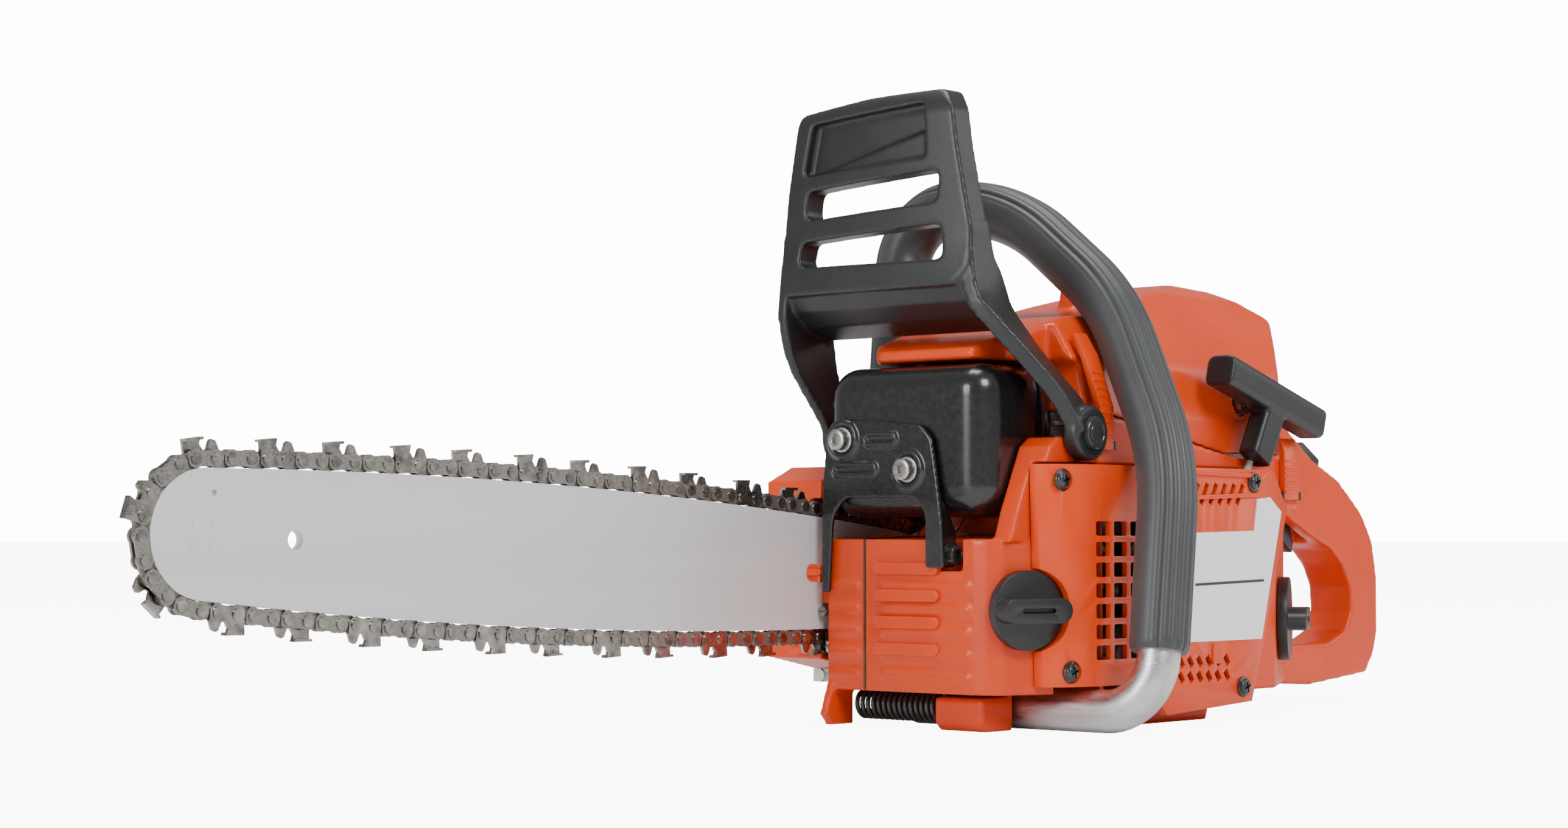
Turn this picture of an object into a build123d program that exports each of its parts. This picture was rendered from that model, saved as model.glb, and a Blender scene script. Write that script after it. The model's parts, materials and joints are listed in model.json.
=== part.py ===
"""Petrol chainsaw with a 15 inch bar, built as an assembly of separate pieces.

Frame: +X towards the bar nose, +Y towards the starter (the operator's left), +Z up. The origin is on
the ground straight below the crankshaft. Lengths are millimetres, angles degrees.
"""
from build123d import *
from math import asin, atan2, cos, degrees, hypot, pi, radians, sin
import os

# ---------------------------------------------------------------- driving dimensions
# engine
CRANK_Z = 64.0            # crankshaft height above the ground
ENGINE_Y = -4.0           # cylinder and connecting rod centre plane
BORE_R = 22.0
STROKE = 32.0
ROD_LENGTH = 62.0
PISTON_CROWN = 10.0       # above the wrist pin
PISTON_SKIRT = 14.0       # below the wrist pin
RUNNING_GAP = 0.05        # radial clearance of every running fit
BODY_GAP = 0.3            # clearance between pieces that move apart
WEB_R = 28.0
WEB_THICK = 10.0
SHAFT_R = 7.5
CLUTCH_SHAFT_R = 6.0
CHAMBER_R = 30.5
SEAM_Y = -26.0            # joint between the two crankcase halves
RIGHT_Y = -48.0           # clutch side of the crankcase
LEFT_Y = 36.0             # flywheel side of the crankcase
FLYWHEEL_R = 42.0
# chain, .325 inch pitch, 1.5 mm gauge
DRIVE_LINKS = 64
RIVET_SPACING_DRIVE = 7.47
RIVET_SPACING_STRAP = 9.04
LINK_PITCH = RIVET_SPACING_DRIVE + RIVET_SPACING_STRAP
CHAIN_START = 71.37       # arc from the nose tip to the first rivet
SPROCKET_PATH_R = 18.4    # rivet circle on the rim sprocket
NOSE_PATH_R = 28.16       # rivet circle round the bar nose
BULGE_PATH_R = 3216.6     # rivet path along the bar rails
BULGE_TURN = 0.05684      # radians by which the nose arc stops short of a quarter turn
SHOULDER_PATH_R = 120.0   # rivet path round the bar tail
SHOULDER_START = 60.0
RIVET_R = 1.6
RIVET_HEAD_R = 2.3
STRAP_HEIGHT = 7.4
STRAP_THICK = 1.4
GAUGE = 1.47
# bar
BAR_Y = -55.5
BAR_THICK = 4.2
BAR_INSET = 3.6           # rivet path to rail
BAR_LENGTH = 454.4        # crankshaft to nose sprocket
BAR_PITCH = radians(2.9)  # the bar points slightly up
BAR_TAIL = 30.0
TAIL_RUN = 15.0           # straight rail behind the shoulder
TAIL_HALF = 12.0
HANG_HOLE_R = 3.65
HANG_HOLE_BACK = 42.0     # behind the nose sprocket
# handles
TUBE_R = 9.5
GRIP_R = 13.3
# body
SHELL = 2.5               # wall of plastic covers
DRUM_R = 36.0
DRUM_Y = -63.0            # inner face of the clutch drum
COVER_RIGHT_Y = -94.0     # outer face of the clutch cover
SHROUD_Y = 61.0           # joint between crankcase and starter cover
STARTER_Y = 72.0          # outer face of the starter cover
PIVOT_X = 66.0            # hand guard pivot
PIVOT_Z = 132.0

os.makedirs("parts", exist_ok=True)


# ---------------------------------------------------------------- helpers
def write(piece, name):
    """Label a finished piece and write it as one STEP file."""
    piece.part.label = name
    export_step(piece.part, f"parts/{name}.step")


def y_rod(x, z, y0, y1, radius, mode=Mode.ADD):
    """Round bar along Y."""
    with Locations(Location((x, (y0 + y1) / 2, z), (90, 0, 0))):
        Cylinder(radius, y1 - y0, mode=mode)


def x_rod(y, z, x0, x1, radius, mode=Mode.ADD):
    """Round bar along X."""
    with Locations(Location(((x0 + x1) / 2, y, z), (0, 90, 0))):
        Cylinder(radius, x1 - x0, mode=mode)


def z_rod(x, y, z0, z1, radius, mode=Mode.ADD):
    """Round bar along Z."""
    with Locations((x, y, (z0 + z1) / 2)):
        Cylinder(radius, z1 - z0, mode=mode)


def block(x0, x1, y0, y1, z0, z1, mode=Mode.ADD):
    """Rectangular block between two corners."""
    with Locations(((x0 + x1) / 2, (y0 + y1) / 2, (z0 + z1) / 2)):
        Box(x1 - x0, y1 - y0, z1 - z0, mode=mode)


def side_plate(points, y0, y1, mode=Mode.ADD):
    """X-Z outline, extruded along Y."""
    with BuildSketch(Plane.XZ.offset(-y1)) as outline:
        with BuildLine():
            Polyline(*points, close=True)
        make_face()
    extrude(outline.sketch, amount=y1 - y0, mode=mode)


def front_plate(points, x0, x1, mode=Mode.ADD):
    """Y-Z outline, extruded along X."""
    with BuildSketch(Plane.YZ.offset(x0)) as outline:
        with BuildLine():
            Polyline(*points, close=True)
        make_face()
    extrude(outline.sketch, amount=x1 - x0, mode=mode)


def floor_plate(points, z0, z1, mode=Mode.ADD):
    """X-Y outline, extruded along Z."""
    with BuildSketch(Plane.XY.offset(z0)) as outline:
        with BuildLine():
            Polyline(*points, close=True)
        make_face()
    extrude(outline.sketch, amount=z1 - z0, mode=mode)


def turned_plane(place, turn, outward=0.0):
    """Upright plane at a place, its normal turned from +X towards +Y."""
    normal = (cos(radians(turn)), sin(radians(turn)), 0.0)
    origin = tuple(c + outward * n for c, n in zip(place, normal))
    return Plane(origin=origin, x_dir=(-normal[1], normal[0], 0.0), z_dir=normal)


def inset(points, distance):
    """Move every corner of a counter-clockwise outline inwards by a wall thickness."""
    moved = []
    count = len(points)
    for i, (x, z) in enumerate(points):
        ax, az = points[i - 1]
        bx, bz = points[(i + 1) % count]
        first = atan2(z - az, x - ax)
        second = atan2(bz - z, bx - x)
        half = (second - first) / 2
        middle = (first + second) / 2
        if abs(half) > pi / 2:
            middle += pi
        reach = distance / max(abs(cos(half)), 0.3)
        moved.append((x - reach * sin(middle), z + reach * cos(middle)))
    return moved


def socket_screw(x, y, z, angles, head_r=4.5, head=5.0, shank_r=2.5, shank=14.0):
    """Socket-head screw with its seat at a point and its head along the turned +Z."""
    with BuildPart(mode=Mode.PRIVATE) as screw:
        with Locations((0, 0, head / 2)):
            Cylinder(head_r, head)
        with Locations((0, 0, -shank / 2)):
            Cylinder(shank_r, shank)
        with BuildSketch(Plane.XY.offset(head)) as hexagon:
            RegularPolygon(head_r * 0.55, 6)
        extrude(hexagon.sketch, amount=-head * 0.6, mode=Mode.SUBTRACT)
    with Locations(Location((x, y, z), angles)):
        add(screw.part)


# ---------------------------------------------------------------- chain path
def shoulder_centre():
    """Centre, start angle and end angle of the arc that brings the chain off the bar tail."""
    bulge = (BAR_LENGTH - (BULGE_PATH_R - NOSE_PATH_R) * sin(BULGE_TURN),
             -(BULGE_PATH_R - NOSE_PATH_R) * cos(BULGE_TURN))
    start = asin((bulge[0] - SHOULDER_START) / BULGE_PATH_R)
    height = bulge[1] + BULGE_PATH_R * cos(start)
    centre = (SHOULDER_START + SHOULDER_PATH_R * sin(start), height - SHOULDER_PATH_R * cos(start))
    reach = hypot(*centre)
    end = asin((SHOULDER_PATH_R - SPROCKET_PATH_R) / reach) + atan2(centre[1], centre[0])
    return bulge, centre, start, end


def path_stretches():
    """The upper half of the chain's path as (length, centre, radius, start angle) from the nose tip."""
    bulge, shoulder, start, end = shoulder_centre()
    nose_turn = pi / 2 - BULGE_TURN
    straight = abs(shoulder[0] * cos(end) + shoulder[1] * sin(end))
    return [
        (NOSE_PATH_R * nose_turn, (BAR_LENGTH, 0.0), NOSE_PATH_R, 0.0),
        (BULGE_PATH_R * (start + BULGE_TURN), bulge, BULGE_PATH_R, nose_turn),
        (SHOULDER_PATH_R * (end - start), shoulder, SHOULDER_PATH_R, pi / 2 + start),
        (straight, shoulder, SHOULDER_PATH_R, pi / 2 + end),
        (SPROCKET_PATH_R * (pi / 2 - end), (0.0, 0.0), SPROCKET_PATH_R, pi / 2 + end),
    ]


STRETCHES = path_stretches()
HALF_PATH = sum(stretch[0] for stretch in STRETCHES)
STRAIGHT_INDEX = 3


def path_point(distance, shift=0.0):
    """Point of the chain's path, moved outwards by shift; distance runs from the nose tip."""
    distance = (distance + HALF_PATH) % (2 * HALF_PATH) - HALF_PATH
    rest = abs(distance)
    side = -1 if distance > 0 else 1
    for index, (length, centre, radius, start) in enumerate(STRETCHES):
        if rest <= length or index == len(STRETCHES) - 1:
            break
        rest -= length
    along = 0.0 if index == STRAIGHT_INDEX else rest / radius
    angle = start + along
    u = centre[0] + (radius + shift) * cos(angle)
    v = centre[1] + (radius + shift) * sin(angle)
    if index == STRAIGHT_INDEX:
        u -= rest * sin(angle)
        v += rest * cos(angle)
    return bar_point(u, side * v)


def bar_point(u, v):
    """A point given along and across the bar, in X and Z."""
    x = u * cos(BAR_PITCH) - v * sin(BAR_PITCH)
    z = CRANK_Z + u * sin(BAR_PITCH) + v * cos(BAR_PITCH)
    return x, z


def rivet_distance(index):
    """Arc from the nose tip to a rivet; even and odd rivets alternate in spacing."""
    if index % 2 == 0:
        return LINK_PITCH * index / 2 - CHAIN_START
    return LINK_PITCH * (index + 1) / 2 - RIVET_SPACING_STRAP - CHAIN_START


def link_location(first, y):
    """Middle and direction of the link between two neighbouring rivets."""
    x0, z0 = path_point(rivet_distance(first))
    x1, z1 = path_point(rivet_distance(first + 1))
    turn = degrees(atan2(-(z1 - z0), x1 - x0))
    return Location(((x0 + x1) / 2, y, (z0 + z1) / 2), (0, turn, 0))


def drive_locations():
    return [link_location(2 * k, BAR_Y) for k in range(DRIVE_LINKS)]


def strap_locations(y, chosen):
    return [link_location(2 * k - 1, y) for k in range(DRIVE_LINKS) if chosen(k)]


def cutter_side(k, side):
    """Every fourth strap carries a cutter on the near side, and so do those between on the far side."""
    return k % 4 == (0 if side > 0 else 2)


# ---------------------------------------------------------------- chain
def link_outline(length, height, lobe, mode=Mode.ADD):
    """Flat link seen from the side: two round ends and a waist."""
    with Locations((-length / 2, 0), (length / 2, 0)):
        Circle(lobe, mode=mode)
    Rectangle(length, height, mode=mode)


def drive_links():
    half = RIVET_SPACING_DRIVE / 2
    with BuildPart() as link:
        with BuildSketch(Plane.XZ.offset(-GAUGE / 2)) as outline:
            link_outline(RIVET_SPACING_DRIVE, 5.6, 2.9)
            with BuildLine():
                Polyline((-half + 1.0, -2.4), (half - 0.2, -2.4), (1.2, -7.0), (-1.6, -7.0), close=True)
            make_face()
            with Locations((-half, 0), (half, 0)):
                Circle(RIVET_R + 0.1, mode=Mode.SUBTRACT)
        extrude(outline.sketch, amount=GAUGE)
    with BuildPart() as chain_drive_links:
        with Locations(*drive_locations()):
            add(link.part)
    write(chain_drive_links, "chain_drive_links")


def tie_straps():
    half = RIVET_SPACING_STRAP / 2
    with BuildPart() as strap:
        with BuildSketch(Plane.XZ.offset(-STRAP_THICK / 2)) as outline:
            link_outline(RIVET_SPACING_STRAP, STRAP_HEIGHT - 1.4, STRAP_HEIGHT / 2 - 0.2)
            with Locations((-half, 0), (half, 0)):
                Circle(RIVET_R + 0.1, mode=Mode.SUBTRACT)
        extrude(outline.sketch, amount=STRAP_THICK)
    offset_y = (GAUGE + STRAP_THICK) / 2 + 0.05
    with BuildPart() as chain_tie_straps:
        for side in (1, -1):
            places = strap_locations(BAR_Y + side * offset_y, lambda k: not cutter_side(k, side))
            with Locations(*places):
                add(strap.part)
    write(chain_tie_straps, "chain_tie_straps")


def cutters():
    """Cutter links: depth gauge ahead, gullet, then the side plate folded over as a top plate."""
    half = RIVET_SPACING_STRAP / 2
    offset_y = (GAUGE + STRAP_THICK) / 2 + 0.05
    pieces = []
    for side in (1, -1):
        with BuildPart() as cutter:
            with BuildSketch(Plane.XZ.offset(-STRAP_THICK / 2)) as outline:
                link_outline(RIVET_SPACING_STRAP, STRAP_HEIGHT - 1.4, STRAP_HEIGHT / 2 - 0.2)
                with BuildLine():
                    Polyline((-8.0, 1.0), (-8.0, 3.4), (-6.6, 6.6), (-4.6, 7.2), (-3.6, 6.4), (-2.6, 3.4),
                             (-0.8, 3.0), (0.8, 5.4), (0.2, 8.2), (8.6, 7.4), (7.8, 1.0), close=True)
                make_face()
                with Locations((-half, 0), (half, 0)):
                    Circle(RIVET_R + 0.1, mode=Mode.SUBTRACT)
            extrude(outline.sketch, amount=STRAP_THICK)
            inward = -side * (STRAP_THICK / 2 + 1.9)
            side_plate([(0.2, 7.0), (0.0, 8.2), (8.6, 7.4), (8.4, 6.4)], min(0, inward), max(0, inward))
        pieces.append(cutter.part)
    with BuildPart() as chain_cutters:
        for side, piece in zip((1, -1), pieces):
            places = strap_locations(BAR_Y + side * offset_y, lambda k: cutter_side(k, side))
            with Locations(*places):
                add(piece)
    write(chain_cutters, "chain_cutters")


def chain_rivets():
    """Rivets with a flat head on each side."""
    width = GAUGE + 2 * STRAP_THICK + 0.2
    with BuildPart() as rivet:
        Cylinder(RIVET_R, width + 0.8)
        with Locations((0, 0, width / 2 + 0.25), (0, 0, -width / 2 - 0.25)):
            Cylinder(RIVET_HEAD_R, 0.5)
    places = []
    for index in range(2 * DRIVE_LINKS):
        x, z = path_point(rivet_distance(index))
        places.append(Location((x, BAR_Y, z), (90, 0, 0)))
    with BuildPart() as rivets:
        with Locations(*places):
            add(rivet.part)
    write(rivets, "chain_rivets")


# ---------------------------------------------------------------- guide bar
def bar_outline(rail_inset):
    """Bar outline at a distance inside the rivet path, as a closed wire of arcs."""
    ends = [0.0]
    for stretch in STRETCHES[:3]:
        ends.append(ends[-1] + stretch[0])
    tail_u = BAR_TAIL + rail_inset - BAR_INSET
    marks = ends[1:]
    run_end = ends[3] + TAIL_RUN
    upper = [path_point(-mark, -rail_inset) for mark in marks]
    lower = [path_point(mark, -rail_inset) for mark in marks]
    upper_mid = [path_point(-(a + b) / 2, -rail_inset) for a, b in zip(marks, marks[1:])]
    lower_mid = [path_point((a + b) / 2, -rail_inset) for a, b in zip(marks, marks[1:])]
    tail = [path_point(-run_end, -rail_inset), bar_point(tail_u, TAIL_HALF), bar_point(tail_u, -TAIL_HALF),
            path_point(run_end, -rail_inset)]
    ThreePointArc(lower[0], path_point(0, -rail_inset), upper[0])
    ThreePointArc(upper[0], upper_mid[0], upper[1])
    ThreePointArc(upper[1], upper_mid[1], upper[2])
    Polyline(upper[2], *tail, lower[2])
    ThreePointArc(lower[2], lower_mid[1], lower[1])
    ThreePointArc(lower[1], lower_mid[0], lower[0])


def nose_rivet_places():
    places = []
    for du in (-4.3, 4.3):
        for dv in (-4.3, 4.3):
            places.append(bar_point(BAR_LENGTH + du, dv))
    return places


def guide_bar():
    with BuildPart() as bar:
        with BuildSketch(Plane.XZ.offset(-BAR_Y - BAR_THICK / 2)) as outline:
            with BuildLine():
                bar_outline(BAR_INSET)
            make_face()
        extrude(outline.sketch, amount=BAR_THICK)
        with BuildSketch(Plane.XZ.offset(-BAR_Y - GAUGE / 2 - 0.1)) as groove:
            with BuildLine():
                bar_outline(BAR_INSET - 2.0)
            make_face()
            with BuildLine():
                bar_outline(BAR_INSET + 6.0)
            make_face(mode=Mode.SUBTRACT)
            nose = bar_point(BAR_LENGTH, 0)
            with Locations(nose):
                Circle(NOSE_PATH_R - BAR_INSET - 1.0)
            with Locations(nose):
                Circle(8.0, mode=Mode.SUBTRACT)
        extrude(groove.sketch, amount=GAUGE + 0.2, mode=Mode.SUBTRACT)
        for x, z in nose_rivet_places():
            y_rod(x, z, BAR_Y - 4, BAR_Y + 4, 2.1, Mode.SUBTRACT)
        hole = bar_point(BAR_LENGTH - HANG_HOLE_BACK, 0)
        y_rod(*hole, BAR_Y - 4, BAR_Y + 4, HANG_HOLE_R, Mode.SUBTRACT)
        grease = bar_point(BAR_LENGTH - 3.0, 15.5)
        y_rod(*grease, BAR_Y - 4, BAR_Y + 4, 1.3, Mode.SUBTRACT)
        slot_mid = bar_point(82.0, 0)
        with BuildSketch(Plane.XZ.offset(-BAR_Y - 4)) as slot:
            with Locations(Location((slot_mid[0], slot_mid[1], 0), (0, 0, degrees(BAR_PITCH)))):
                SlotOverall(74.0, 8.4)
        extrude(slot.sketch, amount=8, mode=Mode.SUBTRACT)
        for v in (-15.0, 15.0):
            x, z = bar_point(60.0, v)
            y_rod(x, z, BAR_Y - 4, BAR_Y + 4, 3.0, Mode.SUBTRACT)
    write(bar, "guide_bar")


def nose_sprocket():
    """Star wheel with its bearing core, held between the side plates of the bar."""
    x, z = bar_point(BAR_LENGTH, 0)
    teeth = 11
    with BuildPart() as star:
        with BuildSketch(Plane.XZ.offset(-BAR_Y - GAUGE / 2)) as wheel:
            with Locations((x, z)):
                Circle(18.6)
                with PolarLocations(18.6, teeth):
                    Circle(2.6, mode=Mode.SUBTRACT)
                Circle(8.3, mode=Mode.SUBTRACT)
        extrude(wheel.sketch, amount=GAUGE)
        for px, pz in nose_rivet_places():
            y_rod(px, pz, BAR_Y - BAR_THICK / 2 - 0.3, BAR_Y + BAR_THICK / 2 + 0.3, 2.1)
    write(star, "nose_sprocket")



# ---------------------------------------------------------------- crankcase
CASE_OUTLINE = [(110, 17), (110, 85), (46, 87), (34, 97), (-34, 97), (-62, 80), (-62, 25), (80, 25), (80, 17)]
CORNER_OUTLINE = [(50, 30), (110, 30), (110, 36), (108.5, 42), (105, 47.5), (76, 58.6), (50, 58.6)]
SHROUD_OUTLINE = [(50, 15), (50, 117), (-62, 117), (-62, 15)]
SHOULDER_OUTLINE = [(105, 84), (100, 97), (92, 114), (86, 126), (80, 130), (53, 130), (53, 84)]
OIL_CAP_PLACE = (95.0, 51.4, 54.0)
OIL_CAP_TURN = 69.0       # direction of the oil cap's axis from +X towards +Y
OIL_NECK_R = 12.0
BOLT_R = 2.5
CASE_SCREWS = ((44, 84.2), (104, 36), (-54, 70), (-54, 34), (40, 34))
CASE_SCREW_R = 2.4
BAR_STUD_U = (66.0, 96.0)
BAR_STUD_R = 4.0
RIB_Z = (64.0, 54.0, 44.0, 34.0, 24.0)


def front_ribs(y0, y1):
    """Raised cooling ribs on the front of the crankcase."""
    for z in RIB_Z:
        with BuildSketch(Plane.YZ.offset(109.0)) as rib:
            with Locations(((y0 + y1) / 2, z)):
                SlotOverall(y1 - y0, 3.4)
        extrude(rib.sketch, amount=2.2)


def crankcase_left():
    with BuildPart() as case:
        side_plate(CASE_OUTLINE, SEAM_Y, LEFT_Y)
        floor_plate(CORNER_OUTLINE, 17, 85)
        block(40, 80, 30, 70, 10, 25, Mode.SUBTRACT)
        side_plate(SHOULDER_OUTLINE, 42.6, 52.5)
        side_plate([(90, 118.8), (86, 126), (80, 130), (53, 130), (53, 118.8)], 52, 60)
        side_plate(SHROUD_OUTLINE, LEFT_Y - 2, SHROUD_Y - BODY_GAP)
        side_plate(inset(SHROUD_OUTLINE, 3.0), LEFT_Y, SHROUD_Y, Mode.SUBTRACT)
        front_ribs(-16, 34)
        y_rod(0, CRANK_Z, SEAM_Y, 14, CHAMBER_R, Mode.SUBTRACT)
        y_rod(0, CRANK_Z, 13, 29, 17.5, Mode.SUBTRACT)
        y_rod(0, CRANK_Z, 28, 40, 10.0, Mode.SUBTRACT)
        z_rod(0, ENGINE_Y, CRANK_Z, 100, 25.0, Mode.SUBTRACT)
        floor_plate([(66, SEAM_Y + 4), (105, SEAM_Y + 4), (105, 34), (99, 44), (72, 54), (66, 54)],
                    29, 68, Mode.SUBTRACT)
        block(96.5, 112, 13, 30, 71, 88, Mode.SUBTRACT)
        y_rod(105, 78, 6, 16, BOLT_R, Mode.SUBTRACT)
        with BuildSketch(turned_plane(OIL_CAP_PLACE, OIL_CAP_TURN, 4.0)) as neck:
            Circle(OIL_NECK_R)
        extrude(neck.sketch, amount=-24, mode=Mode.SUBTRACT)
        y_rod(PIVOT_X, PIVOT_Z - 13, 44, 62, 2.6, Mode.SUBTRACT)
    write(case, "crankcase_left")


def crankcase_right():
    with BuildPart() as case:
        side_plate(CASE_OUTLINE, RIGHT_Y, SEAM_Y)
        front_ribs(RIGHT_Y + 1, SEAM_Y - 3)
        side_plate([(112, 1), (116, 6), (110, 22), (92, 22), (97, 14), (97, 1)], RIGHT_Y, RIGHT_Y + 4)
        pad = [bar_point(36, -14), bar_point(108, -14), bar_point(108, 14), bar_point(36, 14)]
        side_plate(pad, BAR_Y + BAR_THICK / 2, RIGHT_Y)
        y_rod(0, CRANK_Z, -37, SEAM_Y, 17.5, Mode.SUBTRACT)
        y_rod(0, CRANK_Z, RIGHT_Y - 1, -36, 9.0, Mode.SUBTRACT)
        y_rod(0, CRANK_Z, RIGHT_Y - 1, -41, 16.2, Mode.SUBTRACT)
        z_rod(0, ENGINE_Y, CRANK_Z, 100, 25.0, Mode.SUBTRACT)
        for u in BAR_STUD_U:
            x, z = bar_point(u, 0)
            y_rod(x, z, -60, -34, BAR_STUD_R, Mode.SUBTRACT)
        x, z = bar_point(60.0, -15.0)
        block(54, 118, RIGHT_Y - 6, RIGHT_Y, z - 3.3, z + 3.3, Mode.SUBTRACT)
        for x, z in CASE_SCREWS:
            y_rod(x, z, RIGHT_Y - 1, RIGHT_Y + 12, CASE_SCREW_R, Mode.SUBTRACT)
    write(case, "crankcase_right")


def case_screws():
    """Screws of the crankcase, the cylinder foot and the starter cover."""
    with BuildPart() as screws:
        for x, z in CASE_SCREWS:
            socket_screw(x, RIGHT_Y, z, (90, 0, 0), 3.6, 3.5, CASE_SCREW_R, 12)
        for x, y in FOOT_SCREWS:
            socket_screw(x, y, 101, (0, 0, 0), 3.4, 2.8, CASE_SCREW_R, 3.6)
        for x, y, z in COVER_SCREWS:
            socket_screw(x, y, z, (-90, 0, 0), 4.6, 2.6, COVER_SCREW_R, 1.8)
        for y, z in BRACKET_BOLTS:
            socket_screw(113.6, y, z, (0, 90, 0), 4.8, 5.0, BOLT_R, 8)
        socket_screw(105, 17.5, 78, (-90, 0, 0), 4.8, 5.0, BOLT_R, 8)
    write(screws, "case_screws")


# ---------------------------------------------------------------- crank train
PIN_Z = CRANK_Z + STROKE / 2              # crankpin at top dead centre
WRIST_Z = PIN_Z + ROD_LENGTH
RIGHT_WEB_Y = ENGINE_Y - 16.0             # outer face of the clutch-side web
LEFT_WEB_Y = ENGINE_Y + 16.0


def crankshaft():
    """Two full-disc webs with their journals; the crankpin stays with the connecting rod."""
    with BuildPart() as shaft:
        y_rod(0, CRANK_Z, RIGHT_WEB_Y, RIGHT_WEB_Y + WEB_THICK, WEB_R)
        y_rod(0, CRANK_Z, LEFT_WEB_Y - WEB_THICK, LEFT_WEB_Y, WEB_R)
        y_rod(0, CRANK_Z, -37.5, RIGHT_WEB_Y, SHAFT_R)
        y_rod(0, CRANK_Z, -86, -37.5, CLUTCH_SHAFT_R)
        y_rod(0, CRANK_Z, LEFT_WEB_Y, 29, SHAFT_R)
        y_rod(0, CRANK_Z, 29, 54, CLUTCH_SHAFT_R)
    write(shaft, "crankshaft_halves")


def crank_bearings():
    with BuildPart() as bearings:
        for y0, y1 in ((-36.5, -27.5), (15.0, 26.0)):
            y_rod(0, CRANK_Z, y0, y1, 17.45)
            y_rod(0, CRANK_Z, y0, y1, SHAFT_R + RUNNING_GAP, Mode.SUBTRACT)
    write(bearings, "crank_bearings")


def connecting_rod():
    y0, y1 = ENGINE_Y - 4.0, ENGINE_Y + 4.0
    with BuildPart() as rod:
        y_rod(0, PIN_Z, y0, y1, 10.5)
        y_rod(0, WRIST_Z, y0, y1, 7.5)
        side_plate([(-5, PIN_Z), (5, PIN_Z), (3.6, WRIST_Z), (-3.6, WRIST_Z)], ENGINE_Y - 2.4, ENGINE_Y + 2.4)
        y_rod(0, PIN_Z, y0, y1, 7.0, Mode.SUBTRACT)
        y_rod(0, WRIST_Z, y0, y1, 4.5, Mode.SUBTRACT)
    write(rod, "connecting_rod")
    with BuildPart() as pins:
        y_rod(0, PIN_Z, ENGINE_Y - 5.6, ENGINE_Y + 5.6, 7.0)
        y_rod(0, WRIST_Z, ENGINE_Y - 19, ENGINE_Y + 19, 4.5)
        y_rod(0, WRIST_Z, ENGINE_Y - 19, ENGINE_Y + 19, 2.6, Mode.SUBTRACT)
    write(pins, "crankpin_and_wrist_pin")


RING_LEVELS = (2.4, 5.4)   # below the crown


def piston():
    crown = WRIST_Z + PISTON_CROWN
    skirt = WRIST_Z - PISTON_SKIRT
    with BuildPart() as body:
        z_rod(0, ENGINE_Y, skirt, crown, BORE_R - RUNNING_GAP)
        z_rod(0, ENGINE_Y, skirt, crown - 7.5, BORE_R - 3.0, Mode.SUBTRACT)
        for side in (-1, 1):
            y0 = ENGINE_Y + side * 5.0
            y1 = ENGINE_Y + side * 19.5
            y_rod(0, WRIST_Z, min(y0, y1), max(y0, y1), 7.0)
        y_rod(0, WRIST_Z, ENGINE_Y - 30, ENGINE_Y + 30, 4.5, Mode.SUBTRACT)
        y_rod(0, WRIST_Z, ENGINE_Y - 5.0, ENGINE_Y + 5.0, 9.0, Mode.SUBTRACT)
        for z in RING_LEVELS:
            with BuildSketch(Plane.XY.offset(crown - z - 0.65)) as groove:
                with Locations((0, ENGINE_Y)):
                    Circle(BORE_R + 1)
                    Circle(BORE_R - 2, mode=Mode.SUBTRACT)
            extrude(groove.sketch, amount=1.3, mode=Mode.SUBTRACT)
    write(body, "piston")
    with BuildPart() as rings:
        for z in RING_LEVELS:
            with Locations((0, ENGINE_Y, crown - z)):
                Cylinder(BORE_R - RUNNING_GAP, 1.2)
                Cylinder(BORE_R - 1.9, 1.2, mode=Mode.SUBTRACT)
    write(rings, "piston_rings")


# ---------------------------------------------------------------- cylinder
FOOT_SCREWS = [(x, ENGINE_Y + y) for x in (-27, 27) for y in (-25, 25)]
FIN_LEVELS = [105 + 6.5 * i for i in range(10)]
HEAD_TOP = 168.0
BORE_TOP = 154.0


def cylinder():
    with BuildPart() as barrel:
        z_rod(0, ENGINE_Y, 96.2, 97, 24.9)
        z_rod(0, ENGINE_Y, 90, 97, 24.8)
        with Locations((0, ENGINE_Y, 99)):
            Box(62, 60, 4)
        z_rod(0, ENGINE_Y, 100, BORE_TOP + 6, 27.0)
        for z in FIN_LEVELS:
            with BuildSketch(Plane.XY.offset(z)) as fin:
                with Locations((0, ENGINE_Y)):
                    RectangleRounded(76, 70, 12)
            extrude(fin.sketch, amount=1.8)
        for y in (-20, -4, 12):
            block(-30, 30, y - 1.2, y + 1.2, BORE_TOP, HEAD_TOP - 2)
        block(20, 49.5, ENGINE_Y - 12, ENGINE_Y + 12, 112, 136)
        block(-46, -20, ENGINE_Y - 12, ENGINE_Y + 12, 112, 136)
        z_rod(0, ENGINE_Y, 80, BORE_TOP, BORE_R, Mode.SUBTRACT)
        x_rod(ENGINE_Y, 124, 10, 60, 8.5, Mode.SUBTRACT)
        x_rod(ENGINE_Y, 124, -60, -10, 8.0, Mode.SUBTRACT)
        z_rod(0, ENGINE_Y, BORE_TOP - 1, HEAD_TOP + 6, 7.0, Mode.SUBTRACT)
        z_rod(0, ENGINE_Y, 162, HEAD_TOP + 8, 12.5, Mode.SUBTRACT)
        for x, y in FOOT_SCREWS:
            z_rod(x, y, 95, 104.5, CASE_SCREW_R, Mode.SUBTRACT)
    write(barrel, "cylinder")


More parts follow.
